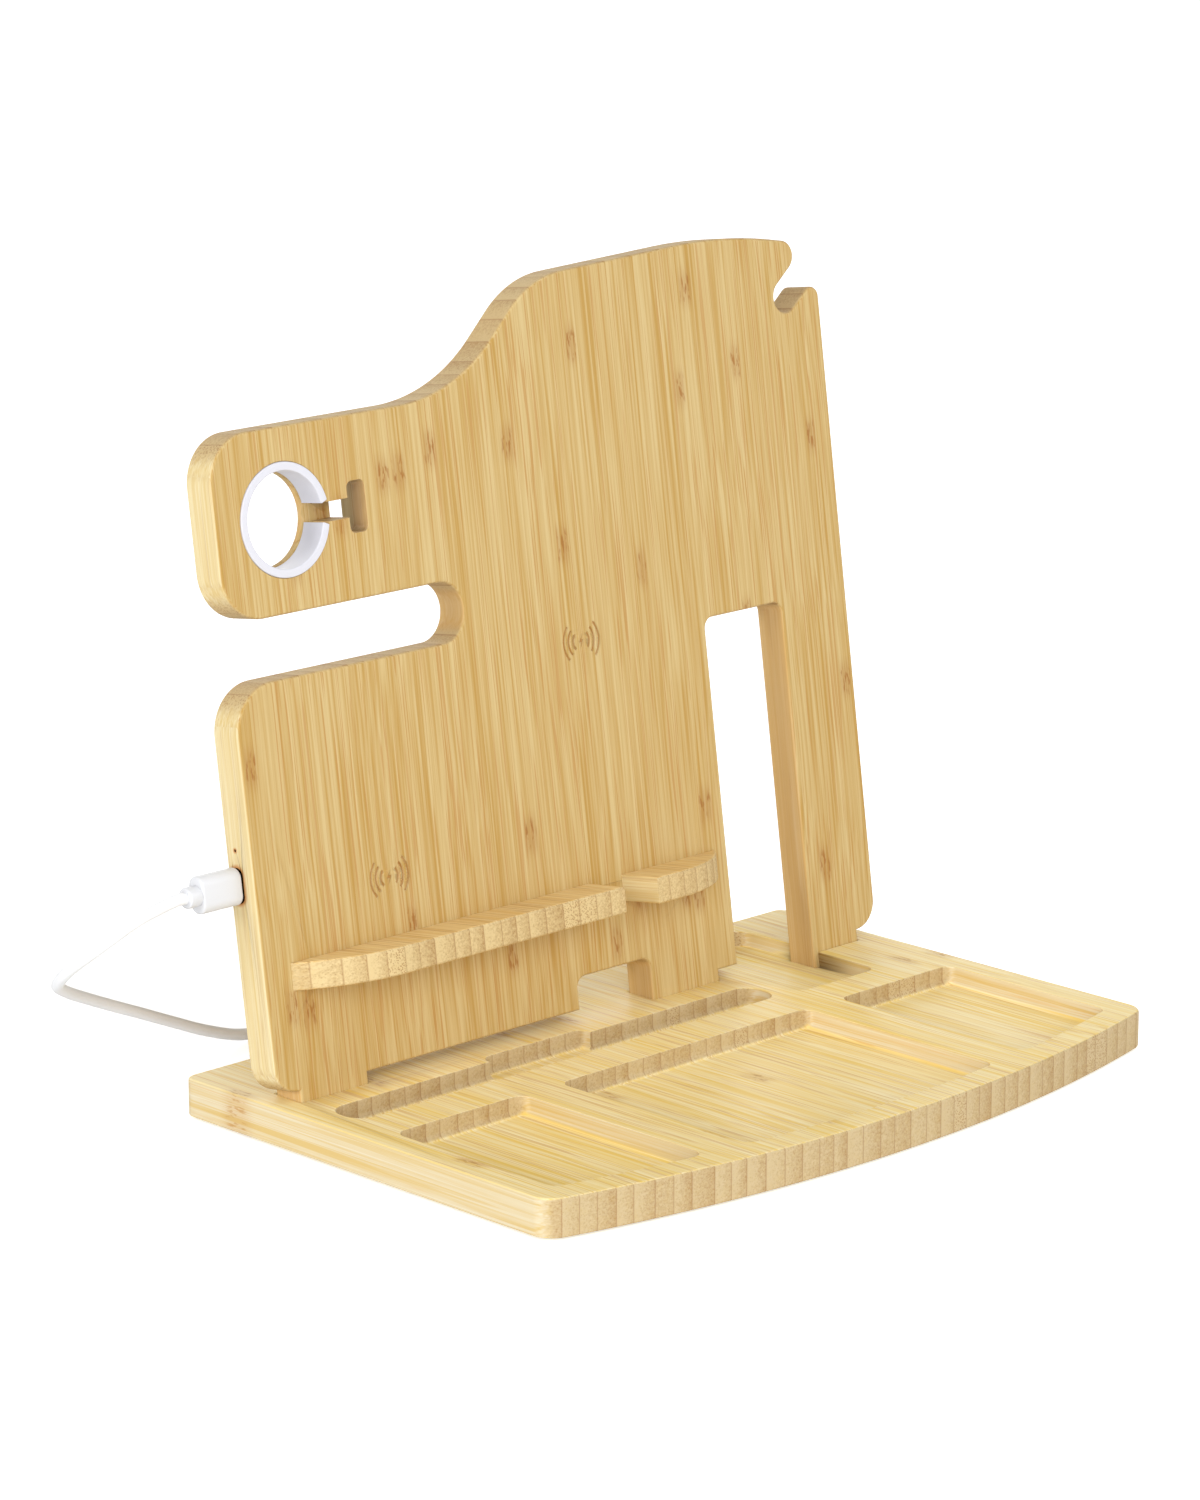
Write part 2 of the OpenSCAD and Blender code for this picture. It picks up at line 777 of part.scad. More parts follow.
function hook_end(side) =
    let (p = hook_mid - hook_w / 2 * hook_dir + side * hook_w / 2 * hook_up)
    [p[0], p[1], hook_w / 2];

module back_board() {
    color("wheat")
        on_board()
            difference() {
                slab(0, board_t)
                    rounded_outline(board_corners());
                ring_cuts();
                recess_cuts();
                edge_cuts();
                for (u = concat(dowels_long, dowels_short))
                    rod([u, dowel_s], -over, dowel_in + dowel_gap, dowel_d / 2 + dowel_gap / 2);
                for (spot = [low_spot, high_spot])
                    slab(-over, mark_deep)
                        translate(spot)
                            charging_mark();
            }
}

module ring_cuts() {
    middle = [ring_u, arm_mid];
    rod(middle, -over, ring_seat, ring_d / 2 + ring_fit);
    rod(middle, 0, board_t + over, ring_d / 2 - ring_wall - ring_fit);
    slab(-over, ring_seat)
        translate([ring_u, arm_mid - ring_gap / 2])
            square([cross_u - ring_u, ring_gap]);
    slab(-over, board_t + over)
        soft_rect(
            cross_u - cross_w / 2, arm_mid - cross_h / 2,
            cross_u + cross_w / 2, arm_mid + cross_h / 2,
            cross_r
        );
}

module recess_cuts() {
    for (spot = [low_spot, high_spot])
        slab(skin_t, board_t + over)
            soft_rect(
                spot[0] - pocket_half, spot[1] - pocket_half,
                spot[0] + pocket_half, spot[1] + pocket_half,
                pocket_r
            );
    slab(pcb_at - small_gap, board_t + over)
        translate([left + edge_wall, pcb_s0 - pocket_gap])
            square([low_u - left - edge_wall, pcb_h + 2 * pocket_gap]);
    slab(channel_at, board_t + over) {
        translate([low_u, channel_s])
            square([channel_u + channel_w - low_u, channel_w]);
        translate([channel_u, channel_s])
            square([channel_w, high_h - channel_s]);
    }
    slab(cover_at, board_t + over)
        cover_plan(0);
    for (p = screws)
        rod(p, board_t - screw_l - small_gap, board_t, screw_d / 2 + small_gap / 2);
}

// The port's window and the pinhole, through the left edge into the recess
module edge_cuts() {
    translate([left - over, 0, port_h])
        rotate([90, 0, 90])
            linear_extrude(edge_wall + 2 * over)
                soft_rect(window_at, -window_h / 2, cover_at, window_h / 2, window_round);
    translate([left - over, light_at, light_h])
        rotate([0, 90, 0])
            cylinder(h = edge_wall + 2 * over, r = light_d / 2);
}

module charging_mark() {
    polygon([
        [0.25 * bolt_w, bolt_h / 2],
        [-bolt_w / 2, -0.08 * bolt_h],
        [-0.06 * bolt_w, -0.08 * bolt_h],
        [-0.25 * bolt_w, -bolt_h / 2],
        [bolt_w / 2, 0.1 * bolt_h],
        [0.06 * bolt_w, 0.1 * bolt_h]
    ]);
    for (r = mark_radii)
        for (side = [0, 180])
            rotate(side)
                intersection() {
                    difference() {
                        circle(r + mark_line / 2);
                        circle(r - mark_line / 2);
                    }
                    polygon([[0, 0], fan(r, -1), [2 * r, 0], fan(r, 1)]);
                }
}

function fan(r, side) = 2 * r * [cos(mark_span), side * sin(mark_span)];

// The ledges and their dowels

// Both ledges in plan: a straight front edge between two bowed ends
module ledge_plan() {
    start = asin(ledge_behind / ledge_bow_r);
    polygon(concat(
        arc([ledge_u0 + ledge_end, ledge_behind], ledge_bow_r, 180 + start, 270),
        arc([ledge_u1 - ledge_end, ledge_behind], ledge_bow_r, 270, 360 - start)
    ));
}

module ledge(u0, u1, dowels) {
    color("burlywood")
        on_board()
            difference() {
                translate([0, 0, ledge_h - ledge_t])
                    linear_extrude(ledge_t)
                        intersection() {
                            ledge_plan();
                            translate([u0, -ledge_deep - over])
                                square([u1 - u0, ledge_deep + over]);
                        }
                for (u = dowels)
                    rod(
                        [u, dowel_s], dowel_in - dowel_l - dowel_gap, over,
                        dowel_d / 2 + dowel_gap / 2
                    );
            }
}

module ledge_long() {
    ledge(ledge_u0 - over, gap_u0, dowels_long);
}

module ledge_short() {
    ledge(gap_u1, ledge_u1 + over, dowels_short);
}

module ledge_dowels() {
    color("tan")
        on_board()
            for (u = concat(dowels_long, dowels_short))
                rod([u, dowel_s], dowel_in - dowel_l, dowel_in, dowel_d / 2);
}

// The watch ring: an open sleeve with bevelled lips

module watch_ring() {
    outer = ring_d / 2;
    inner = outer - ring_wall;
    color("white")
        on_board()
            difference() {
                rod([ring_u, arm_mid], -ring_proud, ring_seat - small_gap, outer);
                rod([ring_u, arm_mid], -over, ring_seat + over, inner);
                slab(-over, ring_seat + over)
                    translate([ring_u, arm_mid])
                        polygon([
                            [0, -ring_gap / 2],
                            [inner + 0.4 * ring_wall, -ring_gap / 2],
                            [outer + over, -ring_gap / 2 - ring_bevel - over],
                            [outer + over, ring_gap / 2 + ring_bevel + over],
                            [inner + 0.4 * ring_wall, ring_gap / 2],
                            [0, ring_gap / 2]
                        ]);
            }
}

// The rear cover and its screws

module cover_plan(gap) {
    rounded_outline([
        [cover_u0 + gap, cover_s0 + gap, cover_r],
        [cover_u1 - gap, cover_s0 + gap, cover_r],
        [cover_u1 - gap, cover_s2 - gap, cover_r],
        [cover_u2 + gap, cover_s2 - gap, cover_r],
        [cover_u2 + gap, cover_s1 - gap, cover_r],
        [cover_u0 + gap, cover_s1 - gap, cover_r]
    ]);
}

module countersunk(extra) {
    rotate_extrude()
        polygon([
            [0, -screw_l],
            [screw_d / 2 + extra, -screw_l],
            [screw_d / 2 + extra, -(screw_head_d - screw_d) / 2],
            [screw_head_d / 2 + extra, 0],
            [0, 0]
        ]);
}

module at_screws() {
    on_board()
        for (p = screws)
            translate([p[0], board_t, p[1]])
                rotate([-90, 0, 0])
                    children();
}

module rear_cover() {
    color("wheat")
        difference() {
            on_board()
                slab(cover_at, board_t)
                    cover_plan(cover_gap);
            at_screws()
                countersunk(small_gap);
            on_board()
                for (p = screws)
                    rod(p, cover_at - over, board_t + over, screw_d / 2 + small_gap);
        }
}

module cover_screws() {
    color("silver")
        difference() {
            at_screws()
                countersunk(0);
            on_board()
                for (p = screws)
                    translate([p[0] - screw_head_d / 3, board_t - 0.4, p[1] - 0.3])
                        cube([2 * screw_head_d / 3, 1, 0.6]);
        }
}

// The charging electronics in the recess

module charging_coil(spot) {
    color("peru")
        on_board()
            difference() {
                rod(spot, skin_t + small_gap, skin_t + small_gap + coil_t, coil_od / 2);
                rod(spot, skin_t - over, skin_t + coil_t + over, coil_id / 2);
            }
}

module coil_lower() {
    charging_coil(low_spot);
}

module coil_upper() {
    charging_coil(high_spot);
}

// A ferrite plate has a notch in one side for the coil's leads
module ferrite(spot, notch) {
    half = ferrite_w / 2;
    color("dimgray")
        on_board()
            slab(ferrite_at, ferrite_at + ferrite_t)
                translate(spot)
                    difference() {
                        soft_rect(-half, -half, half, half, 2);
                        translate(notch * half)
                            square(notch_lead, center = true);
                    }
}

module ferrite_lower() {
    ferrite(low_spot, [-1, 0]);
}

module ferrite_upper() {
    ferrite(high_spot, [0, -1]);
}

module circuit_board() {
    color("darkgreen")
        on_board()
            slab(pcb_at, pcb_back) {
                translate([pcb_u0, pcb_s0])
                    square([pcb_w, pcb_h]);
                translate([left + tongue_out, port_h - tongue_w / 2])
                    square([pcb_u0 - left - tongue_out + over, tongue_w]);
            }
}

// A part on the circuit board's rear face: its corner and size as shares of the board's width
module on_pcb(u, s, w, h, t) {
    translate([pcb_u0 + u * pcb_w, pcb_back, pcb_s0 + s * pcb_w])
        cube(pcb_w * [w, t, h]);
}

module board_components() {
    color("black")
        on_board() {
            on_pcb(0.15, 0.1, 0.36, 0.36, 0.15);
            on_pcb(0.6, 0.13, 0.26, 0.26, 0.05);
            on_pcb(0.15, 0.56, 0.2, 0.2, 0.04);
            on_pcb(0.49, 0.56, 0.16, 0.08, 0.06);
            on_pcb(0.49, 0.72, 0.16, 0.08, 0.06);
            on_pcb(0.56, 1.38, 0.31, 0.31, 0.05);
            on_pcb(0.6, 1.82, 0.16, 0.08, 0.06);
        }
}

// A lead: a thin wire through a row of points [u, depth, s]
module lead(points) {
    tube(points, lead_d / 2, 6, [1, 2, 3]);
}

module coil_leads() {
    out = coil_od / 2 - 0.6;
    coil_back = skin_t + small_gap + coil_t;
    wire_at = pcb_back + lead_d / 2 + 0.1;
    notch_u = low_u - ferrite_w / 2 + 1.2;
    notch_s = high_h - ferrite_w / 2 + 1.2;
    color("firebrick")
        on_board()
            for (side = [-1, 1]) {
                shift = side * 0.9;
                lead([
                    [low_u - out, coil_back + lead_d / 2, low_h + shift],
                    [notch_u, coil_back + lead_d / 2, low_h + shift],
                    [notch_u, wire_at, low_h + shift],
                    [pcb_u1 - 2, wire_at, low_h + shift]
                ]);
                lead([
                    [spine_u + shift, coil_back + lead_d / 2, high_h - out],
                    [spine_u + shift, coil_back + lead_d / 2, notch_s],
                    [spine_u + shift, wire_at, notch_s],
                    [spine_u + shift, wire_at, channel_s + channel_w / 2 + 4 - shift],
                    [spine_u - channel_w / 2 + shift, wire_at, channel_s + channel_w / 2 - shift],
                    [pcb_u1 - 2, wire_at, channel_s + channel_w / 2 - shift]
                ]);
            }
}

module usb_socket() {
    color("silver")
        on_board()
            translate([0, port_at, port_h]) {
                difference() {
                    pill(left + socket_in, left + socket_in + socket_l, socket_h, socket_w);
                    pill(
                        left + socket_in - over, left + socket_in + socket_l - 1,
                        socket_h - 2 * socket_wall, socket_w - 2 * socket_wall
                    );
                }
                translate([left + socket_in + 1.5, -tongue_t / 2, -socket_w / 2 + 1.2])
                    cube([socket_l - 2, tongue_t, socket_w - 2.4]);
            }
}

module status_led() {
    color("white")
        on_board()
            translate([pcb_u0, pcb_back, light_h - 0.8])
                cube([1.6, 2 * (light_at - pcb_back), 1.6]);
}

module light_pipe() {
    color("lightcyan")
        on_board()
            translate([left + light_in, light_at, light_h])
                rotate([0, 90, 0])
                    cylinder(h = edge_wall - light_in, r = light_d / 2 - 0.05);
}

// The cable's plug, drawn along the port's axis

module at_port() {
    on_board()
        translate([0, port_at, port_h])
            children();
}

module plug_shell() {
    color("silver")
        at_port()
            difference() {
                pill(left - plug_gap, left + shell_in, shell_t, shell_w);
                pill(
                    left - plug_gap - over, left + shell_in + over,
                    shell_t - 2 * shell_wall, shell_w - 2 * shell_wall
                );
            }
}

// A ring round the grip at x, drawn in from its full section: four wide corners and two flats
function grip_ring(x, inset) =
    let (full = 0.47 * plug_t)
    [
        for (k = [0 : 3])
            for (step = [0 : 15 : 90])
                let (
                    a = 90 * k + step,
                    corner = [k == 0 || k == 3 ? 1 : -1, k < 2 ? 1 : -1]
                )
                [
                    x,
                    corner[0] * (plug_t / 2 - full) + (full - inset) * cos(a),
                    corner[1] * (plug_w / 2 - full) + (full - inset) * sin(a)
                ]
    ];

// A ring on the rounded edge of an end, at angle a from the side of the grip
function end_ring(x, inward, a) =
    grip_ring(x + inward * plug_round * (1 - sin(a)), plug_round * (1 - cos(a)));

module plug_body() {
    start = left - plug_gap;
    color("white")
        at_port()
            loft(concat(
                [for (a = [90 : -30 : 0]) end_ring(start, -1, a)],
                [for (a = [0 : 30 : 90]) end_ring(start - plug_l, 1, a)]
            ));
}

module plug_collar() {
    color("white")
        at_port()
            translate([left - plug_gap - plug_l, 0, 0])
                rotate([0, -90, 0])
                    cylinder(h = collar_l, r1 = collar_d / 2, r2 = collar_d / 2 - 0.4);
}

// The cord, wound behind the base, and its far end

module cord_lead() {
    color("white")
        tube(smoothed(cord_route), cord_d / 2, cord_sides);
}

module cord_coil() {
    color("white")
        tube(coil_path, cord_d / 2, coil_sides);
}

// A tie is a band round all turns, at the left and at the right of the coil
module cable_ties() {
    inner = coil_in_r - cord_d / 2 + 0.6;
    outer = coil_out_r + cord_d / 2 - 0.6;
    low = tie_lift + tie_t;
    high = coil_z + pitch + cord_d / 2 + small_gap;
    color("dimgray")
        for (side = [0, 180])
            translate([coil_c[0], coil_c[1], 0])
                rotate([90, 0, side])
                    translate([0, 0, -tie_w / 2])
                        linear_extrude(tie_w)
                            difference() {
                                soft_rect(
                                    inner - tie_t, low - tie_t, outer + tie_t, high + tie_t, 2 + tie_t
                                );
                                soft_rect(inner, low, outer, high, 2);
                            }
}

module far_collar() {
    color("white")
        translate([far_u, far_y, far_z])
            rotate([0, 90, 0])
                cylinder(h = far_collar_l, r1 = 0.6 * cord_d, r2 = collar_d / 2);
}

module far_plug_body() {
    color("white")
        translate([far_u + far_collar_l, far_y, far_z])
            rotate([90, 0, 90])
                linear_extrude(far_l)
                    soft_rect(-far_w / 2, -far_t / 2, far_w / 2, far_t / 2, 0.3 * far_t);
}

module far_plug_shell() {
    shell_x = far_u + far_collar_l + far_l;
    width = 12;
    height = 4.5;
    wall = 0.3;
    color("silver")
        translate([shell_x, far_y, far_z]) {
            difference() {
                translate([0, -width / 2, -height / 2])
                    cube([far_shell_l, width, height]);
                translate([wall, wall - width / 2, wall - height / 2])
                    cube([far_shell_l, width - 2 * wall, height - 2 * wall]);
            }
            translate([0, wall - width / 2, wall - height / 2])
                cube([far_shell_l - 0.5, width - 2 * wall, 1.9]);
        }
}

base_board();
feet();
back_board();
ledge_long();
ledge_short();
ledge_dowels();
watch_ring();
rear_cover();
cover_screws();
coil_lower();
coil_upper();
ferrite_lower();
ferrite_upper();
circuit_board();
board_components();
coil_leads();
usb_socket();
status_led();
light_pipe();
plug_shell();
plug_body();
plug_collar();
cord_lead();
cord_coil();
cable_ties();
far_collar();
far_plug_body();
far_plug_shell();
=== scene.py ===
# %% [markdown]
# # A bamboo charging station organizer
# The real object is cut from laminated bamboo board: strips of bamboo stand side by side and are
# glued into a slab. A routed base carries a leaning board on three tabs, and the board holds two
# phone ledges, a white ring for a watch charger and the charging electronics.
# The CAD model already gives every piece its place and size. This script dresses those pieces:
# it eases the edges, adds the finishes, and winds the cord.

# %% Load the CAD frame
import json
import math

import bmesh
import bpy
import numpy as np
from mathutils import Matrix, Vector
from mathutils.geometry import tessellate_polygon


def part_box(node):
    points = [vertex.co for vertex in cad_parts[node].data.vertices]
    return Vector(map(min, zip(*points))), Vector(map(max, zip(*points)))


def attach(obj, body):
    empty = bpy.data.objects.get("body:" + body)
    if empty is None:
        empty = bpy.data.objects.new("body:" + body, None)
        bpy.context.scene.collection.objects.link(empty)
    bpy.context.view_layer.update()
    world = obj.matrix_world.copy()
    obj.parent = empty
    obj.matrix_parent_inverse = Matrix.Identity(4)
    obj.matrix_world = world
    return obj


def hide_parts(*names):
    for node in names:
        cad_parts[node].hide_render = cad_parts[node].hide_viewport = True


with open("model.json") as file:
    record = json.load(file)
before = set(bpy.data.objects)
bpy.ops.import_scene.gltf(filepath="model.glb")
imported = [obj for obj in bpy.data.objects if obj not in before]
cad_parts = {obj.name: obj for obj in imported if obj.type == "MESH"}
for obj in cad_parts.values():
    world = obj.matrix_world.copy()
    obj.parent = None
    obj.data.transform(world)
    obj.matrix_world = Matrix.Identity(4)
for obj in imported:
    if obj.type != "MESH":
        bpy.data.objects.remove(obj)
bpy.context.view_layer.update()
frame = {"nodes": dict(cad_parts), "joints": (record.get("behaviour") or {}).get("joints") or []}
MM = 0.001
NEAR = 0.05 * MM

# %% [markdown]
# ## The camera
# The photograph was taken with a long lens from the front left, a little above the board's middle.
# A camera needs a place and three directions. They follow from the angle round the object and the
# angle above the table, so those two angles are what is written down here.

# %% Camera
CAMERA_AT = (-1.0831, -1.0611, 0.4960)
CAMERA_ROUND = math.radians(-44.49)
CAMERA_ABOVE = math.radians(14.38)
CAMERA_LENS = 123.88

camera = bpy.data.objects.new("camera", bpy.data.cameras.new("camera"))
bpy.context.scene.collection.objects.link(camera)
camera.data.lens = CAMERA_LENS
camera.location = CAMERA_AT
camera.rotation_euler = (math.pi / 2 - CAMERA_ABOVE, 0, CAMERA_ROUND)
bpy.context.scene.camera = camera
print("camera at", [round(v, 3) for v in camera.location])

# %% [markdown]
# ## Shapes from arrays
# A modelled piece here is a grid of points: rings of points that follow each other along a path or
# round an axis. NumPy works out all points of a grid at once, and neighbouring rings are joined by
# four-sided faces. These few helpers serve every such piece.

# %% Grids of points
def ring_faces(rings, around, wrap=False):
    """Four-sided faces between neighbouring rings; with wrap, the last ring joins the first."""
    i, k = np.meshgrid(np.arange(rings if wrap else rings - 1), np.arange(around), indexing="ij")
    j, n = (i + 1) % rings, (k + 1) % around
    return np.stack([i * around + k, j * around + k, j * around + n, i * around + n], -1).reshape(-1, 4)


def new_piece(name, points, faces):
    """An object from points and faces, with faces that point outwards and smooth shading."""
    mesh = bpy.data.meshes.new(name)
    mesh.from_pydata(np.asarray(points, float).reshape(-1, 3).tolist(), [], [list(f) for f in faces])
    work = bmesh.new()
    work.from_mesh(mesh)
    bmesh.ops.recalc_face_normals(work, faces=work.faces)
    work.to_mesh(mesh)
    work.free()
    mesh.shade_smooth()
    piece = bpy.data.objects.new(name, mesh)
    bpy.context.scene.collection.objects.link(piece)
    print(name, "has", len(mesh.polygons), "faces")
    return piece


def skin(name, rings):
    """A closed piece from an array of rings, shaped (rings, around, 3), with a flat cap on each end."""
    count, around = rings.shape[:2]
    faces = ring_faces(count, around).tolist()
    caps = [list(range(around)), list(range((count - 1) * around, count * around))]
    return new_piece(name, rings, faces + caps)


def sharpen(piece, angle=35):
    """Edges sharper than the angle stay crisp, and the rest are shaded smooth."""
    piece.data.set_sharp_from_angle(angle=math.radians(angle))
    return piece


def rounded_loop(half_wide, half_high, radius, steps=5):
    """A rectangle with round corners, as points: four quarter circles one after the other."""
    a = np.arange(4)[:, None] * np.pi / 2 + np.linspace(0, np.pi / 2, steps)[None]
    corner = np.array([[1, 1], [-1, 1], [-1, -1], [1, -1]])[:, None]
    inner = np.array([half_wide - radius, half_high - radius])
    return (corner * inner + radius * np.stack([np.cos(a), np.sin(a)], -1)).reshape(-1, 2)


# %% [markdown]
# ## The power cord
# A cord is a fixed length of something flexible. It leaves the plug at the board's left edge,
# falls in a loose arc, and passes behind the base, where the rest is wound into a neat coil of two
# layers. The open stretch follows listed points, joined by a smooth curve. The coil
# follows a rule: spiral in, climb one layer in half a turn, and spiral out again.

# %% The cord's route
CORD_D = 3.8 * MM
COIL_MIDDLE = np.array([5.0, 119.0]) * MM
COIL_LOW = 2.9 * MM
COIL_MID_R = 19.2 * MM
COIL_TURNS = 3
TURN_STEPS = 48
PITCH = 4.3 * MM
coil_out_r = COIL_MID_R + COIL_TURNS * PITCH / 2
coil_in_r = coil_out_r - COIL_TURNS * PITCH

collar_low, collar_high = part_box("plug_collar")
cord_start = np.array([collar_low.x, (collar_low.y + collar_high.y) / 2, (collar_low.z + collar_high.z) / 2])
coil_start = np.array([COIL_MIDDLE[0] - CORD_D, COIL_MIDDLE[1] + coil_out_r, COIL_LOW])
open_route = np.vstack([
    [cord_start, cord_start - [4 * MM, 0, 0]],
    np.array([
        [-168, 63, 74.5], [-175.5, 70, 67], [-177.5, 82, 58], [-172.5, 94.5, 50], [-163.5, 106, 44],
        [-152.5, 114.5, 38], [-140, 121, 32], [-127, 126, 26], [-113.5, 129, 20], [-99, 131, 13.5],
        [-85, 131.5, 7.5], [-71, 131.5, 3.1], [-57, 132.5, 2], [-43, 135, 1.95], [-29.5, 139, 1.95],
        [-16, 142.8, 2.2],
    ]) * MM,
    [coil_start - [5 * MM, 0, 0], coil_start],
])


def smooth_curve(points, steps=8):
    """A Catmull-Rom curve: between two points it follows a cubic whose slope at each point is half
    the way between that point's neighbours."""
    p = np.vstack([points[:1], points, points[-1:]])
    a, b, c, d = (p[i : len(p) - 3 + i, None] for i in range(4))
    f = np.arange(steps)[None, :, None] / steps
    spans = (b + f * (c - a) / 2 + f**2 * (a - 2.5 * b + 2 * c - d / 2)
             + f**3 * (1.5 * b - 1.5 * c + d / 2 - a / 2))
    return np.vstack([spans.reshape(-1, 3), points[-1:]])


def wound_cord():
    """The radius falls steadily by one pitch a turn and rises again; the height changes by one
    pitch, eased, in the half turn where the spiral turns back."""
    turn = np.arange(2 * COIL_TURNS * TURN_STEPS + 1) / TURN_STEPS
    r = coil_in_r + PITCH * np.abs(turn - COIL_TURNS)
    a = np.pi / 2 - 2 * np.pi * turn
    f = np.clip(2 * (turn - COIL_TURNS) + 0.5, 0, 1)
    z = COIL_LOW + PITCH * f * f * (3 - 2 * f)
    return np.stack([COIL_MIDDLE[0] + r * np.cos(a), COIL_MIDDLE[1] + r * np.sin(a), z], -1)


far_low, far_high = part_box("far_collar")
far_start = np.array([far_low.x, (far_low.y + far_high.y) / 2, (far_low.z + far_high.z) / 2])
wound = wound_cord()
tail = wound[-1] + np.array([
    [5, 0, 0], [10, 0, -0.1], [15, 0, -0.7], [20, 0, -1.9], [24, 0, -2.8], [27, 0, -3.1],
]) * MM
cord_path = np.vstack([smooth_curve(open_route), wound, smooth_curve(np.vstack([tail, [far_start]]), 4)])
cord_measured = np.linalg.norm(np.diff(cord_path, axis=0), axis=1).sum()
print("cord path:", len(cord_path), "points,", round(cord_measured, 4), "m")


# %% The cord as a tube
def tube(name, path, radius, sides=14):
    """At each point of the path, a circle square to the path. Its sideways direction is level, and
    its upward direction is square to that and to the path."""
    along = np.gradient(path, axis=0)
    along /= np.linalg.norm(along, axis=1, keepdims=True)
    side = np.cross(along, [0, 0, 1])
    side /= np.linalg.norm(side, axis=1, keepdims=True)
    up = np.cross(side, along)
    a = np.arange(sides) * 2 * np.pi / sides
    rings = path[:, None] + radius * (
        np.cos(a)[None, :, None] * side[:, None] + np.sin(a)[None, :, None] * up[:, None]
    )
    return skin(name, rings)


cord = tube("power_cord", cord_path, CORD_D / 2)
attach(cord, "cable")
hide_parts("cord_lead", "cord_coil")

# %% [markdown]
# ## The two plugs
# A moulded grip is a bar whose section changes along its length: full in the middle, drawn in and
# rounded at the ends. So it is a row of rings, and two lists say where each ring lies and how far
# it is drawn in there.

# %% Moulded grips
board_up = Vector(frame["joints"][0]["axis"])
board_deep = Vector((0, board_up.z, -board_up.y))


def bar(name, start, axis, wide, thick, places, sections):
    """Rings along an axis: ring k lies at places[k], and sections[k] holds its points, measured
    along the bar's wide and its thick direction."""
    rings = (
        np.asarray(start) + np.asarray(places)[:, None, None] * np.asarray(axis)
        + sections[..., :1] * np.asarray(wide) + sections[..., 1:] * np.asarray(thick)
    )
    return skin(name, rings)


def ovals(widths, thicknesses, power=2.0, around=48):
    """Superellipses: the cosine and the sine of an angle, each raised to 2 / power with its sign
    kept, times the half sizes. Power 2 is an ellipse, and a higher power is squarer."""
    a = np.arange(around) * 2 * np.pi / around
    circle = np.stack([np.cos(a), np.sin(a)], -1)
    unit = np.sign(circle) * np.abs(circle) ** (2 / power)
    return np.stack([widths, thicknesses], -1)[:, None] / 2 * unit


def rounded_ends(length, first, last, steps=6):
    """Places along a bar and how far it is drawn in there: a quarter circle at each end, with the
    radii first and last, and nothing in between."""
    a = np.linspace(0, np.pi / 2, steps)
    places = np.concatenate([first * (1 - np.cos(a)), length - last * (1 - np.cos(a[::-1]))])
    drawn = np.concatenate([first * (1 - np.sin(a)), last * (1 - np.sin(a[::-1]))])
    return places, drawn


plug_low, plug_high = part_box("plug_body")
shell_low, shell_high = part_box("plug_shell")
port_middle = (shell_low + shell_high) / 2
PLUG_W = 11.4 * MM
PLUG_T = 6.8 * MM
PLUG_ROUND = 0.8 * MM
plug_places, plug_drawn = rounded_ends(plug_high.x - plug_low.x, PLUG_ROUND, PLUG_ROUND)
plug_sections = np.stack([
    rounded_loop(PLUG_W / 2 - inset, PLUG_T / 2 - inset, 0.47 * PLUG_T - inset, 10) for inset in plug_drawn
])
grip = bar("plug_grip", (plug_high.x, port_middle.y, port_middle.z), (-1, 0, 0), board_up, board_deep,
           plug_places, plug_sections)
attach(grip, "cable")
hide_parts("plug_body")

collar_w = 6.4 * MM
collar_places, collar_drawn = rounded_ends(collar_high.x - collar_low.x, 0.2 * MM, 0.5 * MM)
collar_sizes = collar_w - 2 * collar_drawn
collar = bar("plug_strain_relief", (collar_high.x, cord_start[1], cord_start[2]), (-1, 0, 0),
             board_up, board_deep, collar_places, ovals(collar_sizes, collar_sizes))
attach(collar, "cable")
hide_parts("plug_collar")

# %% [markdown]
# The far plug lies on the table beside the coil. Its grip has shallow grooves for the fingers,
# which are only a ripple in the two lists of sizes.

# %% The far plug
far_grip_low, far_grip_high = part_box("far_plug_body")
far_size = far_grip_high - far_grip_low
far_ends, far_drawn = rounded_ends(far_size.x, 2.2 * MM, 1.0 * MM)
groove_places = np.linspace(6, 14, 25) * MM
groove_drawn = 0.22 * MM * (1 - np.cos(np.linspace(0, 3, 25) * 2 * np.pi)) / 2
middle = len(far_ends) // 2
far_places = np.insert(far_ends, middle, groove_places)
far_in = np.insert(far_drawn, middle, groove_drawn)
far_grip = bar(
    "far_plug_grip", (far_grip_low.x, far_start[1], far_start[2]), (1, 0, 0), (0, 1, 0), (0, 0, 1),
    far_places, ovals(far_size.y - 2 * far_in, far_size.z - 2 * far_in, power=4.5),
)
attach(far_grip, "cable")
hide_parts("far_plug_body")

far_relief_w = np.linspace(1.25 * CORD_D, far_high.y - far_low.y, 9)
far_relief_w[1::2] -= 0.35 * MM
far_relief = bar(
    "far_plug_relief", far_start, (1, 0, 0), (0, 1, 0), (0, 0, 1),
    np.linspace(0, far_high.x - far_low.x, 9), ovals(far_relief_w, far_relief_w),
)
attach(far_relief, "cable")
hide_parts("far_collar")

nodes = frame["nodes"]

# %% [markdown]
# ## The watch ring
# The ring is a plastic sleeve, open at the right where the watch charger's lead goes in, and its
# lips are bevelled towards the lead's channel. A rounded rectangle is carried round the axis, and
# each of its points stops where the opening is at that point's radius.

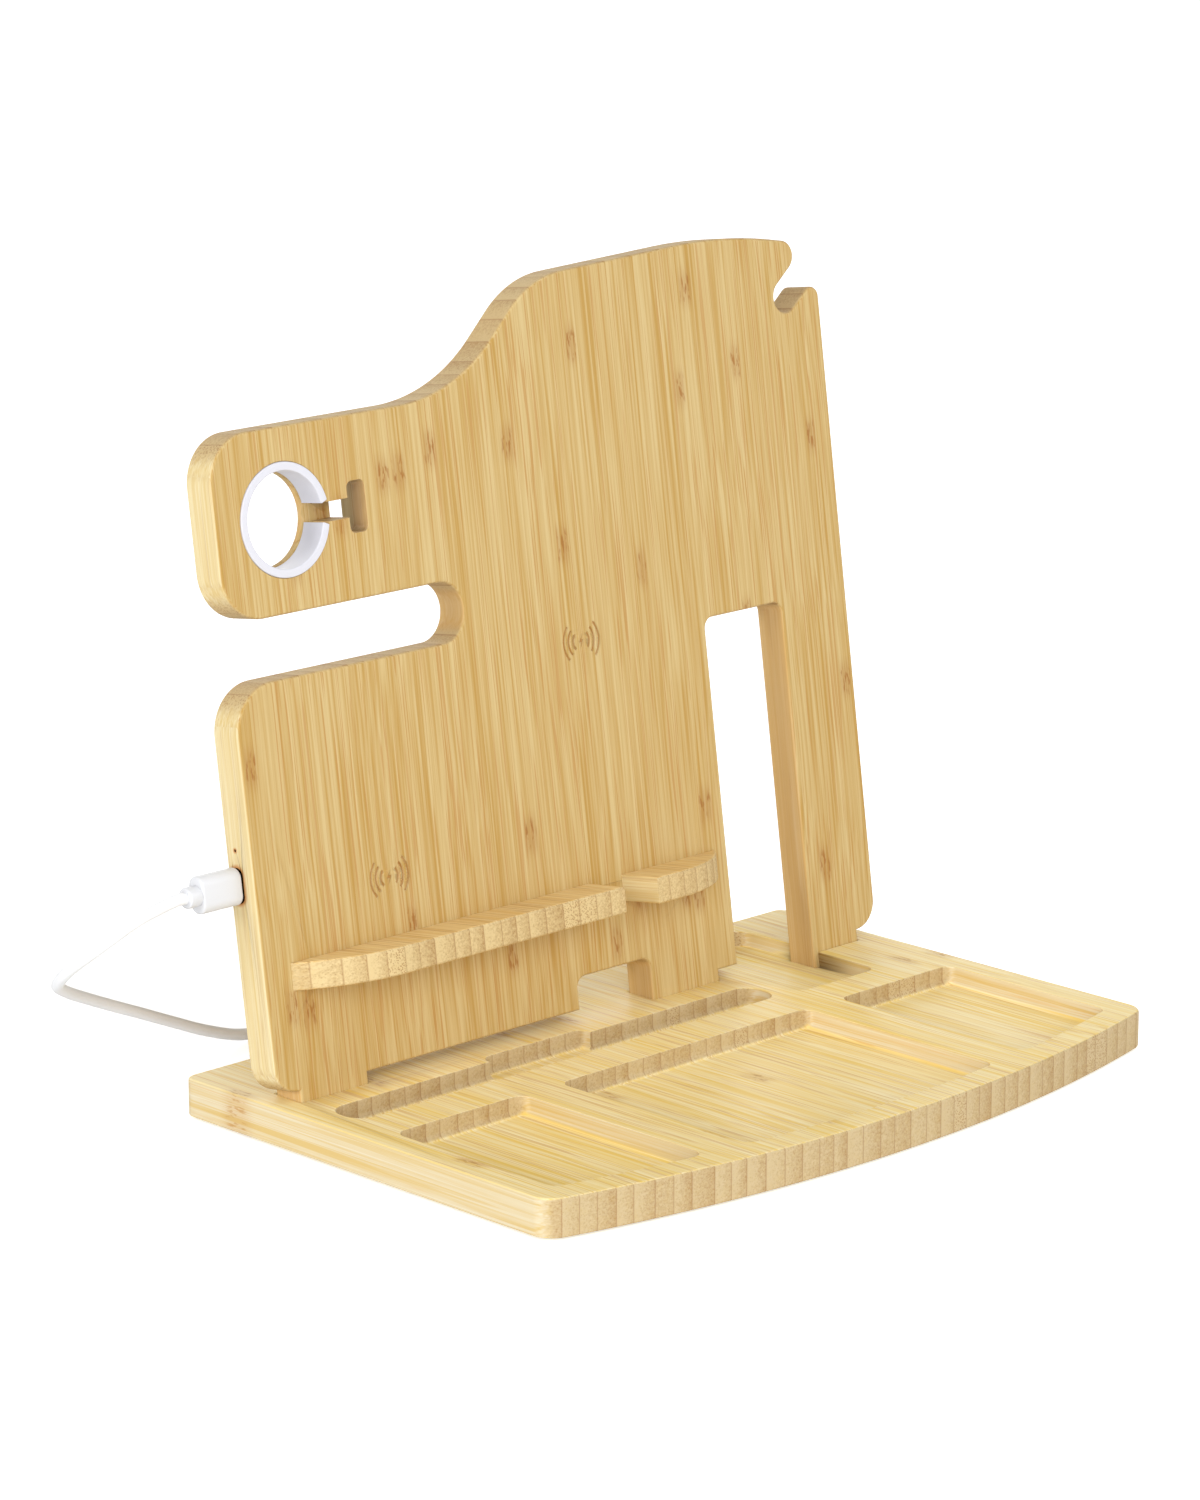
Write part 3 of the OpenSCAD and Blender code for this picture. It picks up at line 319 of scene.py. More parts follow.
# %% Sleeve with an opening
ring_low, ring_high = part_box("watch_ring")
ring_points = np.array([v.co for v in nodes["watch_ring"].data.vertices])
ring_deep = ring_points @ np.array(board_deep)
ring_middle_x = (ring_low.x + ring_low.x + 34.4 * MM) / 2
ring_up = ring_points @ np.array(board_up)
ring_middle_up = (ring_up.min() + ring_up.max()) / 2
RING_OUT = 17.2 * MM
RING_WALL = 2.6 * MM
RING_GAP = 5.8 * MM
LIP_BEVEL = 1.0 * MM
RING_EASE = 0.35 * MM


def open_sleeve(name, steps=120):
    """Radius and depth come from the rounded rectangle. The angle runs from the lower lip round to
    the upper lip, and a lip's angle is the arc sine of half the opening over the radius."""
    deep_low, deep_high = ring_deep.min(), ring_deep.max()
    loop = rounded_loop(RING_WALL / 2, (deep_high - deep_low) / 2, RING_EASE)
    r = RING_OUT - RING_WALL / 2 + loop[:, 0]
    deep = (deep_low + deep_high) / 2 + loop[:, 1]
    widen = np.clip((r - (RING_OUT - 0.6 * RING_WALL)) / (0.6 * RING_WALL), 0, 1)
    lip = np.arcsin((RING_GAP / 2 + LIP_BEVEL * widen) / r)
    share = np.linspace(0, 1, steps)[:, None]
    a = lip + share * (2 * np.pi - 2 * lip)
    out, up = r * np.cos(a), ring_middle_up + r * np.sin(a)
    rings = (
        np.stack([ring_middle_x + out, np.zeros_like(out), np.zeros_like(out)], -1)
        + up[..., None] * np.array(board_up)
        + (deep * np.ones_like(out))[..., None] * np.array(board_deep)
    )
    return sharpen(skin(name, rings), 50)


ring = open_sleeve("watch_sleeve")
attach(ring, "board")
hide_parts("watch_ring")

# %% [markdown]
# ## Rubber feet
# Each foot is a disc with a rounded lower rim: a profile turned round an upright axis.

# %% Feet
feet_points = np.array([v.co for v in nodes["feet"].data.vertices])
feet_low, feet_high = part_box("feet")
FOOT_R = 6 * MM
FOOT_EASE = 0.5 * MM


def turned(profile, middle, steps=40):
    """A profile of radii and heights turned round an upright axis, as rings of points."""
    a = np.arange(steps) * 2 * np.pi / steps
    r, z = profile[:, 0, None], profile[:, 1, None]
    return np.stack([middle[0] + r * np.cos(a), middle[1] + r * np.sin(a), z + 0 * a], -1)


def four_feet():
    """The rim's lower corner is a quarter circle; one object holds the four discs."""
    a = np.linspace(-np.pi / 2, 0, 6)
    rim = np.stack([FOOT_R - FOOT_EASE + FOOT_EASE * np.cos(a), FOOT_EASE + FOOT_EASE * np.sin(a)], -1)
    profile = np.vstack([rim, [[FOOT_R, feet_high.z]]])
    points, faces = [], []
    for x in (feet_low.x + FOOT_R, feet_high.x - FOOT_R):
        for y in (feet_low.y + FOOT_R, feet_high.y - FOOT_R):
            rings = turned(profile, (x, y))
            first, around = sum(map(len, points)), rings.shape[1]
            faces += (ring_faces(len(rings), around) + first).tolist()
            faces += [[first + k for k in range(around)]]
            faces += [[first + (len(rings) - 1) * around + k for k in range(around)]]
            points.append(rings.reshape(-1, 3))
    return sharpen(new_piece("rubber_feet", np.vstack(points), faces))


feet = four_feet()
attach(feet, "base")
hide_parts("feet")

# %% [markdown]
# ## Wood with eased edges
# The wooden pieces keep the exact shape of the CAD model, but no real edge is perfectly sharp: the
# outlines are sanded round, and the cutter leaves a hollow curve where a tray's wall meets its
# floor. Every such edge runs round a flat face: the top of the base, a tray's floor, the front of
# the board. So each wooden node is copied, and round the border of those faces the surface is
# rolled over: rings of points follow a quarter circle from the wall to the face, and the face is
# filled again inside the last ring.

# %% Copy and ease
EASE_STEPS = 5
SLIVER = 0.01 * MM * MM


def flat_islands(work, level, normal):
    """The faces that lie in one plane, slivers without a direction of their own among them,
    gathered into islands of touching faces."""
    flat = {
        face for face in work.faces
        if (face.normal.dot(normal) > 0.999 or face.calc_area() < SLIVER)
        and all(abs(corner.co.dot(normal) - level) < 0.1 * NEAR for corner in face.verts)
    }
    islands = []
    while flat:
        waiting, island = [flat.pop()], []
        while waiting:
            island.append(waiting.pop())
            touching = {face for edge in island[-1].edges for face in edge.link_faces} & flat
            flat -= touching
            waiting += touching
        if sum(face.calc_area() for face in island) > SLIVER:
            islands.append(island)
    return islands


def borders(island, level, normal):
    """The rows of corners round an island, with the island on their left, and for each corner
    whether the wall after it rises above the island's level."""
    inside = set(island)
    following = {}
    for face in island:
        for loop in face.loops:
            walls = [other for other in loop.edge.link_faces if other not in inside]
            if walls:
                rises = walls[0].calc_center_median().dot(normal) > level
                following[loop.vert] = (loop.link_loop_next.vert, rises)
    rows = []
    while following:
        corner, row, rising = next(iter(following)), [], []
        while corner in following:
            row.append(corner)
            corner, rises = following.pop(corner)
            rising.append(rises)
        rows.append((row, np.array(rising)))
    return rows


def rounded_rings(work, row, normal, off, r):
    """A point moves inwards by r (1 - cos a) and off the face's level by r (1 - sin a), for angles
    from 0 to 90 degrees. Inwards is the mitre of the two edges that meet in the point."""
    at = np.array([corner.co for corner in row])
    along = np.roll(at, -1, 0) - at
    left = np.cross(normal, along / np.linalg.norm(along, axis=1, keepdims=True))
    before = np.roll(left, 1, 0)
    mitre = (left + before) / (1 + (left * before).sum(1, keepdims=True))
    a = np.linspace(0, np.pi / 2, EASE_STEPS + 1)[:, None, None]
    places = at + mitre * r[:, None] * (1 - np.cos(a)) + off * r[:, None] * (1 - np.sin(a))
    for corner, place in zip(row, places[0]):
        corner.co = place
    rings = [row] + [[work.verts.new(place) for place in ring] for ring in places[1:]]
    for ring, further in zip(rings, rings[1:]):
        for k in range(len(row)):
            work.faces.new((ring[k - 1], ring[k], further[k], further[k - 1]))
    return rings[-1]


def roll_over(work, level, normal, rule, hollow=False):
    """Rounds the walls into every flat face at this level. rule(corners, length) gives the radius
    in millimetres for a border; a wall that stands on the wrong side of the face stays sharp."""
    off = np.array(normal) * (1 if hollow else -1)
    for island in flat_islands(work, level, normal):
        rows = borders(island, level, normal)
        bmesh.ops.delete(work, geom=island, context="FACES")
        inner = []
        for row, rising in rows:
            at = np.array([corner.co for corner in row])
            length = np.linalg.norm(np.roll(at, -1, 0) - at, axis=1).sum()
            fits = (rising == hollow) & (np.roll(rising, 1) == hollow)
            r = MM * rule(at, length) * fits
            inner.append(rounded_rings(work, row, normal, off, r) if r.any() else row)
        corners = [corner for ring in inner for corner in ring]
        for triangle in tessellate_polygon([[corner.co for corner in ring] for ring in inner]):
            face = work.faces.new([corners[k] for k in triangle])
            face.normal_update()
            if face.normal.dot(normal) < 0:
                face.normal_flip()


def eased(name, node, body, planes):
    """A copy of a node as a new piece, rolled over at each plane: a level, a normal, a rule and
    whether its walls rise from it."""
    work = bmesh.new()
    work.from_mesh(nodes[node].data)
    bmesh.ops.remove_doubles(work, verts=work.verts, dist=0.002 * MM)
    for plane in planes:
        roll_over(work, *plane)
    bmesh.ops.remove_doubles(work, verts=work.verts, dist=0.001 * MM)
    bmesh.ops.dissolve_degenerate(work, edges=work.edges, dist=0.0005 * MM)
    opened = sum(len(edge.link_faces) != 2 for edge in work.edges)
    mesh = bpy.data.meshes.new(name)
    work.to_mesh(mesh)
    work.free()
    mesh.shade_smooth()
    piece = bpy.data.objects.new(name, mesh)
    bpy.context.scene.collection.objects.link(piece)
    sharpen(piece)
    even = piece.modifiers.new("even", "WEIGHTED_NORMAL")
    even.weight = 100
    even.keep_sharp = True
    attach(piece, body)
    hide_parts(node)
    print(name, "has", len(mesh.polygons), "faces and", opened, "open edges")
    return piece


def by_length(outline, opening, shortest):
    """A rule: one radius for the outline, which is by far the longest border, another for large
    openings, and nothing for borders that are shorter than a limit in millimetres."""
    def rule(corners, length):
        return outline if length > OUTLINE_LENGTH else opening if length > shortest * MM else 0.0

    return rule


OUTLINE_LENGTH = 0.6

# %% [markdown]
# On the base, the outline and the rims of the trays lie at the top, the tray floors 6 mm lower, and
# the floor of the small pocket 5 mm lower. The slots for the tabs stay crisp.

# %% The base
base_low, base_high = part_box("base_board")
TRAY_DEEP = 6.0 * MM
CASE_DEEP = 5.0 * MM
UP = Vector((0, 0, 1))


def tray_cove(corners, length):
    return 2.2


def pocket_cove(corners, length):
    return 0.5


base = eased("base_block", "base_board", "base", [
    (base_high.z - TRAY_DEEP, UP, tray_cove, True),
    (base_high.z - CASE_DEEP, UP, pocket_cove, True),
    (base_high.z, UP, by_length(0.9, 0.35, 100)),
    (-base_low.z, -UP, by_length(0.7, 0.0, 100)),
])

# %% [markdown]
# The leaning board is measured along its own directions. Its outline and the ring's seat are eased
# at the front and at the rear; the engraved marks and the screw holes stay crisp.

# %% The back board
board_points = np.array([v.co for v in nodes["back_board"].data.vertices])
board_depths = board_points @ np.array(board_deep)
face_at, rear_at = board_depths.min(), board_depths.max()
board_rule = by_length(0.9, 0.3, 60)
board = eased("leaning_board", "back_board", "board", [
    (-face_at, -board_deep, board_rule),
    (rear_at, board_deep, board_rule),
])

# %% [markdown]
# The engraved marks are burnt into the wood by a laser, so their floors are brown. They are the
# only flat faces that lie a little behind the front face, and an attribute on those faces carries
# the burn to the material.

# %% Burnt engraving
ENGRAVED = 0.45 * MM
faces = board.data.polygons
centres, normals = np.empty(len(faces) * 3), np.empty(len(faces) * 3)
faces.foreach_get("center", centres)
faces.foreach_get("normal", normals)
behind = centres.reshape(-1, 3) @ np.array(board_deep) - face_at
facing = normals.reshape(-1, 3) @ -np.array(board_deep)
burnt = ((behind > NEAR) & (behind < ENGRAVED) & (facing > 0.99)).astype(np.float32)
board.data.attributes.new("burn", "FLOAT", "FACE").data.foreach_set("value", burnt)
print("burnt faces:", int(burnt.sum()))

# %% [markdown]
# A ledge is round at its free edges and almost sharp where it touches the board.


# %% Ledges and rear cover
def ledge_rule(corners, length):
    at_board = np.abs(corners @ np.array(board_deep) - face_at) < 0.3 * MM
    return np.where(at_board, 0.15, 0.8)


def ledge(name, node):
    """Its top and its bottom are square to the board."""
    heights = np.array([v.co for v in nodes[node].data.vertices]) @ np.array(board_up)
    return eased(name, node, "board", [
        (heights.max(), board_up, ledge_rule), (-heights.min(), -board_up, ledge_rule),
    ])


long_ledge = ledge("phone_ledge_long", "ledge_long")
short_ledge = ledge("phone_ledge_short", "ledge_short")
cover = eased("rear_panel", "rear_cover", "board", [
    (rear_at, board_deep, by_length(0.3, 0.0, 60)),
])

# %% [markdown]
# ## Building materials with nodes
# A procedural material is a formula. These helpers add one node and connect its inputs in a single
# call, so that a formula reads as a few lines. An effect that several materials share is a node
# group with named inputs and outputs.


# %% Node helpers
def add(tree, kind, inputs=None, **settings):
    """A new node with its settings; an input is either a value or another node's output."""
    node = tree.nodes.new(kind)
    for key, value in settings.items():
        setattr(node, key, value)
    for key, value in (inputs or {}).items():
        if isinstance(value, bpy.types.NodeSocket):
            tree.links.new(value, node.inputs[key])
        else:
            node.inputs[key].default_value = value
    return node


def calc(tree, operation, *values, clamp=False):
    node = add(tree, "ShaderNodeMath", dict(enumerate(values)), operation=operation, use_clamp=clamp)
    return node.outputs[0]


def vector_calc(tree, operation, *values):
    node = add(tree, "ShaderNodeVectorMath", dict(enumerate(values)), operation=operation)
    return node.outputs["Value" if operation == "DOT_PRODUCT" else "Vector"]


def fade(tree, value, low, high, start=0.0, end=1.0):
    """Runs smoothly from start to end as value runs from low to high."""
    node = add(
        tree, "ShaderNodeMapRange",
        {"Value": value, "From Min": low, "From Max": high, "To Min": start, "To Max": end},
        interpolation_type="SMOOTHSTEP",
    )
    return node.outputs["Result"]


def mix(tree, share, first, second):
    node = add(tree, "ShaderNodeMix", data_type="RGBA")
    for key, value in ((0, share), (6, first), (7, second)):
        if isinstance(value, bpy.types.NodeSocket):
            tree.links.new(value, node.inputs[key])
        else:
            node.inputs[key].default_value = value
    return node.outputs[2]


def xyz(tree, x, y, z):
    return add(tree, "ShaderNodeCombineXYZ", {0: x, 1: y, 2: z}).outputs[0]


def noise(tree, vector, scale=1.0, detail=2.0):
    node = add(tree, "ShaderNodeTexNoise", {"Vector": vector, "Scale": scale, "Detail": detail})
    return node.outputs["Fac"]


def srgb(red, green, blue):
    """A colour as seen on a screen, 0 to 255, turned into the linear light that shaders use."""
    c = np.array([red, green, blue]) / 255
    linear = np.where(c <= 0.04045, c / 12.92, ((c + 0.055) / 1.055) ** 2.4)
    return (*linear.tolist(), 1.0)


def new_group(name, inputs, outputs):
    """An empty node group with named sockets: (name, kind, default) and (name, kind)."""
    tree = bpy.data.node_groups.new(name, "ShaderNodeTree")
    for title, kind, default in inputs:
        socket = tree.interface.new_socket(title, in_out="INPUT", socket_type=kind)
        socket.default_value = default
    for title, kind in outputs:
        tree.interface.new_socket(title, in_out="OUTPUT", socket_type=kind)
    return tree, tree.nodes.new("NodeGroupInput").outputs, tree.nodes.new("NodeGroupOutput").inputs


# %% [markdown]
# ## Laminated bamboo
# The board is a solid texture, so that faces, rounded edges and routed walls all show the same
# block of wood. Three directions matter: across the strips, along the grain, and through the
# strips. Noise that is stretched along the grain gives fine streaks on a long face, and small dots
# where the grain is cut. Each strip has its own random tone, its own gradient and, here and there,
# a brown knuckle, and a thin line of glue separates it from the next.

# %% The bamboo group
BAMBOO_INPUTS = [
    ("Across", "NodeSocketVector", (1, 0, 0)),
    ("Along", "NodeSocketVector", (0, 1, 0)),
    ("Strip Width", "NodeSocketFloat", 6.5),
    ("Seed", "NodeSocketFloat", 0.0),
    ("Light", "NodeSocketColor", srgb(204, 180, 127)),
    ("Dark", "NodeSocketColor", srgb(182, 144, 74)),
    ("Fibre", "NodeSocketColor", srgb(178, 128, 58)),
    ("Side", "NodeSocketColor", srgb(226, 212, 170)),
    ("Side Streak", "NodeSocketColor", srgb(211, 184, 124)),
    ("End Grain", "NodeSocketColor", srgb(196, 171, 124)),
    ("End Dark", "NodeSocketColor", srgb(160, 124, 76)),
    ("Knuckle", "NodeSocketColor", srgb(156, 102, 43)),
    ("Knuckle Share", "NodeSocketFloat", 0.35),
]
BAMBOO_OUTPUTS = [
    ("Color", "NodeSocketColor"), ("Roughness", "NodeSocketFloat"), ("Height", "NodeSocketFloat"),
    ("Faces Across", "NodeSocketFloat"),
]
KNUCKLE_EVERY = 230.0


def bamboo_group():
    tree, given, out = new_group("laminated bamboo", BAMBOO_INPUTS, BAMBOO_OUTPUTS)
    place = add(tree, "ShaderNodeTexCoord").outputs
    point = vector_calc(tree, "MULTIPLY", place["Object"], (1000, 1000, 1000))
    through = vector_calc(tree, "CROSS_PRODUCT", given["Across"], given["Along"])
    x = vector_calc(tree, "DOT_PRODUCT", point, given["Across"])
    y = vector_calc(tree, "DOT_PRODUCT", point, given["Along"])
    z = vector_calc(tree, "DOT_PRODUCT", point, through)
    facing_along = calc(tree, "ABSOLUTE", vector_calc(tree, "DOT_PRODUCT", place["Normal"], given["Along"]))
    facing_across = calc(tree, "ABSOLUTE", vector_calc(tree, "DOT_PRODUCT", place["Normal"], given["Across"]))
    end = fade(tree, facing_along, 0.35, 0.8)
    side = fade(tree, facing_across, 0.6, 0.9)

    # Which strip a point lies in, how far across it, and three random numbers for that strip
    uneven = noise(tree, xyz(tree, calc(tree, "DIVIDE", x, 15), given["Seed"], 0.0), detail=0)
    strips = calc(tree, "DIVIDE", calc(tree, "MULTIPLY_ADD", uneven, 5.0, x), given["Strip Width"])
    strips = calc(tree, "ADD", strips, given["Seed"])
    index = calc(tree, "FLOOR", strips)
    share = calc(tree, "SUBTRACT", strips, index)
    chance = add(tree, "ShaderNodeTexWhiteNoise", {"W": index}, noise_dimensions="1D")
    random = add(tree, "ShaderNodeSeparateColor", {"Color": chance.outputs["Color"]}).outputs
    shift = calc(tree, "MULTIPLY", random[1], 700)
    own_y = calc(tree, "ADD", y, shift)

    # Streaks: soft ones, fine fibres, and sparse dark fibres that are thicker in some strips
    wave = noise(tree, xyz(tree, calc(tree, "DIVIDE", x, 60), calc(tree, "DIVIDE", y, 110), z), detail=1)
    swayed = calc(tree, "MULTIPLY_ADD", wave, 3.0, x)
    swayed_z = calc(tree, "MULTIPLY_ADD", wave, 5.0, z)

    def streaks(wide, long, detail=0):
        return noise(tree, xyz(tree, calc(tree, "DIVIDE", swayed, wide), calc(tree, "DIVIDE", own_y, long),
                               calc(tree, "DIVIDE", swayed_z, wide)), detail=detail)

    def plus(amount, value, total):
        """Adds a noise to a total, so that the noise's middle changes nothing."""
        return calc(tree, "MULTIPLY_ADD", calc(tree, "SUBTRACT", value, 0.5), amount, total)

    soft = streaks(2.8, 190)
    middling = streaks(1.3, 130)
    fine = streaks(0.7, 70, 1)
    dark = streaks(0.6, 55, 1)
    crowd = plus(0.07, random[2], plus(0.5, middling, dark))
    fibre = fade(tree, crowd, 0.57, 0.72)

    tone = plus(1.6, fine, plus(1.3, middling, plus(0.7, soft, plus(0.1, random[0], 0.6))))
    tone = calc(tree, "MAXIMUM", calc(tree, "MINIMUM", tone, 1.25), 0.0)
    color = mix(tree, tone, given["Dark"], given["Light"])
    pale = mix(tree, calc(tree, "MULTIPLY", tone, 0.85, clamp=True), given["Side Streak"], given["Side"])
    color = mix(tree, side, color, pale)
    color = mix(tree, calc(tree, "MULTIPLY", fibre, calc(tree, "MULTIPLY_ADD", side, -0.25, 0.6)), color,
                given["Fibre"])

    # Cut ends: paler, with a gradient across each strip; the cut fibres are dots, coarse and brown
    # in the few strips that were cut through a knuckle
    cell = xyz(tree, calc(tree, "DIVIDE", x, 0.6), calc(tree, "DIVIDE", own_y, 30),
               calc(tree, "DIVIDE", z, 0.6))
    dots = add(tree, "ShaderNodeTexVoronoi", {"Vector": cell, "Scale": 1.0}).outputs["Distance"]
    dot = fade(tree, dots, 0.1, 0.55, 1.0, 0.0)
    specks = noise(tree, xyz(tree, calc(tree, "DIVIDE", x, 0.8), calc(tree, "DIVIDE", own_y, 12),
                             calc(tree, "DIVIDE", z, 0.8)), detail=1)
    coarse = calc(tree, "GREATER_THAN", random[1], 0.9)
    slope = calc(tree, "MULTIPLY", calc(tree, "SUBTRACT", 0.5, share),
                 calc(tree, "MULTIPLY_ADD", random[2], 0.6, 0.15))
    end_tone = calc(tree, "ADD", plus(0.5, random[1], 0.84), slope)
    end_tone = calc(tree, "MULTIPLY_ADD", dot, -0.35, plus(1.1, specks, end_tone), clamp=True)
    cut = mix(tree, end_tone, given["End Dark"], given["End Grain"])
    cut = mix(tree, calc(tree, "MULTIPLY", coarse, calc(tree, "MULTIPLY", dot, 0.8)), cut, srgb(150, 104, 56))
    color = mix(tree, calc(tree, "MULTIPLY", end, 0.9), color, cut)

    # Glue lines: clear on a cut end, faint on a long face
    to_edge = calc(tree, "MULTIPLY", calc(tree, "MINIMUM", share, calc(tree, "SUBTRACT", 1.0, share)),
                   given["Strip Width"])
    glue = fade(tree, to_edge, 0.02, 0.35, 1.0, 0.0)
    glue_strength = calc(tree, "MULTIPLY_ADD", end, 0.42, 0.06)
    color = mix(tree, calc(tree, "MULTIPLY", glue, glue_strength), color, srgb(150, 106, 58))

    # Knuckles: in some strips a soft brown patch, with dashes of darker fibre across it
    turn = calc(tree, "FRACT", calc(tree, "ADD", calc(tree, "DIVIDE", y, KNUCKLE_EVERY), random[1]))
    away = calc(tree, "MULTIPLY", calc(tree, "ABSOLUTE", calc(tree, "SUBTRACT", turn, 0.5)), KNUCKLE_EVERY)
    away = plus(5.0, fine, away)
    has_one = calc(tree, "LESS_THAN", random[2], given["Knuckle Share"])
    dash = noise(tree, xyz(tree, calc(tree, "DIVIDE", x, 0.9), calc(tree, "DIVIDE", own_y, 4.2),
                           calc(tree, "DIVIDE", z, 0.9)), detail=2)
    inside = fade(tree, to_edge, 0.2, 1.5)
    patch = calc(tree, "MULTIPLY", fade(tree, away, 2.0, 9.0, 0.34, 0.0), inside)
    dashes = calc(tree, "MULTIPLY", fade(tree, away, 2.0, 6.5, 1.0, 0.0), fade(tree, dash, 0.46, 0.62))
    brown = calc(tree, "MAXIMUM", patch, calc(tree, "MULTIPLY", dashes, inside))
    brown = calc(tree, "MULTIPLY", calc(tree, "MULTIPLY", brown, has_one),
                 calc(tree, "MULTIPLY_ADD", end, -0.7, 0.82))
    color = mix(tree, brown, color, given["Knuckle"])

    rough = calc(tree, "MULTIPLY_ADD", end, 0.16, 0.40)
    rough = calc(tree, "MULTIPLY_ADD", fine, 0.10, rough)
    height = calc(tree, "MULTIPLY_ADD", glue, -0.06, calc(tree, "MULTIPLY", fine, 0.12))
    height = calc(tree, "MULTIPLY_ADD", calc(tree, "MULTIPLY", dot, end), -0.5, height)
    height = calc(tree, "MULTIPLY_ADD", brown, -0.4, height)
    tree.links.new(color, out["Color"])
    tree.links.new(rough, out["Roughness"])
    tree.links.new(height, out["Height"])
    tree.links.new(side, out["Faces Across"])
    print("bamboo group:", len(tree.nodes), "nodes")
    return tree


BAMBOO = bamboo_group()


# %% Wood materials
def new_material(name):
    material = bpy.data.materials.new(name)
    material.use_nodes = True
    tree = material.node_tree
    return material, tree, tree.nodes["Principled BSDF"]


def bump(tree, height, depth_mm, strength=1.0):
    node = add(tree, "ShaderNodeBump", {"Height": height, "Strength": strength, "Distance": depth_mm * MM})
    return node.outputs["Normal"]


# How far in from the board's left and right ends the side faces start to get painted shade.
INNER_SHADE_FROM = 5 * MM
WINDOW_DEEP = 7.55 * MM
WINDOW_MIDDLE = port_middle + board_deep * float(WINDOW_DEEP + face_at - port_middle.dot(board_deep))
light_low, light_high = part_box("light_pipe")
CUTS = [
    (WINDOW_MIDDLE, 5.4 * MM, 2.55 * MM, 2.4 * MM, 1.5 * MM),
    ((light_low + light_high) / 2, 0.45 * MM, 0.45 * MM, 0.45 * MM, 0.7 * MM),
]


def scorch_and_hole_shade(tree, color):
    """The cuts in the board's left edge are rectangles with round corners. The laser that made them
    left a brown rim that fades with the distance from the cut. Their inside is painted almost black:
    the laser's char, darkened further as painted shade of the deep hole."""
    place = add(tree, "ShaderNodeTexCoord").outputs["Object"]
    x = vector_calc(tree, "DOT_PRODUCT", place, (1, 0, 0))
    for middle, half_up, half_deep, radius, reach in CUTS:
        away = vector_calc(tree, "SUBTRACT", place, tuple(middle))
        beyond = [
            calc(tree, "MAXIMUM", calc(tree, "SUBTRACT", calc(tree, "ABSOLUTE", vector_calc(
                tree, "DOT_PRODUCT", away, tuple(axis))), half - radius), 0.0)
            for axis, half in ((board_up, half_up), (board_deep, half_deep))
        ]
        square = calc(tree, "ADD", *(calc(tree, "POWER", value, 2.0) for value in beyond))
        distance = calc(tree, "SUBTRACT", calc(tree, "SQRT", square), radius)
        near_edge = calc(tree, "LESS_THAN", x, base_low.x + 8 * MM)
        rim = calc(tree, "MULTIPLY", fade(tree, distance, 0.0, reach, 0.85, 0.0), near_edge)
        color = mix(tree, rim, color, srgb(186, 116, 48))
        # Painted shade: the inside of each cut is painted almost black, for the shade in the deep hole on top of
        # the laser's char.
        within = calc(tree, "MULTIPLY", calc(tree, "LESS_THAN", distance, NEAR),
                      calc(tree, "GREATER_THAN", x, base_low.x + 2 * NEAR))
        dark = calc(tree, "MULTIPLY", calc(tree, "MULTIPLY", within, near_edge), 0.92)
        color = mix(tree, dark, color, srgb(58, 38, 24))
    return color


def bamboo(name, across, along, strip, seed, knuckles=0.35, burn=False, **colors):
    material, tree, shader = new_material(name)
    wood = add(tree, "ShaderNodeGroup", node_tree=BAMBOO)
    for key, value in (("Across", across), ("Along", along), ("Strip Width", strip), ("Seed", seed),
                       ("Knuckle Share", knuckles), *colors.items()):
        wood.inputs[key].default_value = value
    color = wood.outputs["Color"]
    # On the board, burn brings the real laser burns and also painted shade, on the inner side faces and inside the
    # cuts.
    if burn:
        mark = add(tree, "ShaderNodeAttribute", attribute_name="burn").outputs["Fac"]
        color = mix(tree, calc(tree, "MULTIPLY", mark, 0.6), color, srgb(164, 108, 48))
        # Painted shade: side faces away from the board's outer ends, such as the cutout walls and the leg's face,
        # are mixed halfway to a darker orange that stands in for the shade inside the cutout.
        x = vector_calc(tree, "DOT_PRODUCT", add(tree, "ShaderNodeTexCoord").outputs["Object"], (1, 0, 0))
        inner = calc(tree, "LESS_THAN", calc(tree, "ABSOLUTE", x), base_high.x - INNER_SHADE_FROM)
        inner = calc(tree, "MULTIPLY", calc(tree, "MULTIPLY", inner, wood.outputs["Faces Across"]), 0.5)
        color = mix(tree, inner, color, srgb(196, 142, 66))
        color = scorch_and_hole_shade(tree, color)
    tree.links.new(color, shader.inputs["Base Color"])
    tree.links.new(wood.outputs["Roughness"], shader.inputs["Roughness"])
    tree.links.new(bump(tree, wood.outputs["Height"], 0.06, 0.6), shader.inputs["Normal"])
    shader.inputs["Specular IOR Level"].default_value = 0.25
    return material


def dress(material, *pieces):
    """Gives pieces one material. A CAD node keeps its mesh, so the slot is set on the object."""
    for piece in pieces:
        if not piece.data.materials:
            piece.data.materials.append(None)
        for slot in piece.material_slots:
            slot.link = "OBJECT"
            slot.material = material


ACROSS = (1.0, 0.0, 0.0)
dress(bamboo("bamboo base", ACROSS, (0, 1, 0), 6.5, 12.3, 0.45,
             Light=srgb(246, 231, 184), Dark=srgb(236, 204, 108), Side=srgb(220, 210, 184),
             Fibre=srgb(212, 168, 92), Knuckle=srgb(188, 140, 76),
             **{"Side Streak": srgb(210, 182, 118), "End Grain": srgb(195, 174, 135)}), base)
dress(bamboo("bamboo board", ACROSS, tuple(board_up), 6.4, 3.1, 0.75, burn=True), board)
dress(bamboo("bamboo ledge", ACROSS, tuple(board_deep), 6.6, 30.2, 0.1,
             Light=srgb(235, 208, 152), Dark=srgb(217, 178, 105),
             **{"End Grain": srgb(212, 190, 142)}), long_ledge, short_ledge)
dress(bamboo("bamboo cover", ACROSS, tuple(board_up), 6.4, 61.7, 0.6), cover)

# %% [markdown]
# ## Plastic, rubber and metal
# Moulded plastic is never perfectly even: it has a faint orange-peel texture that breaks up the
# highlights. One small group gives that texture at any scale, and the plastics, the rubber and the
# metals use it with their own values.


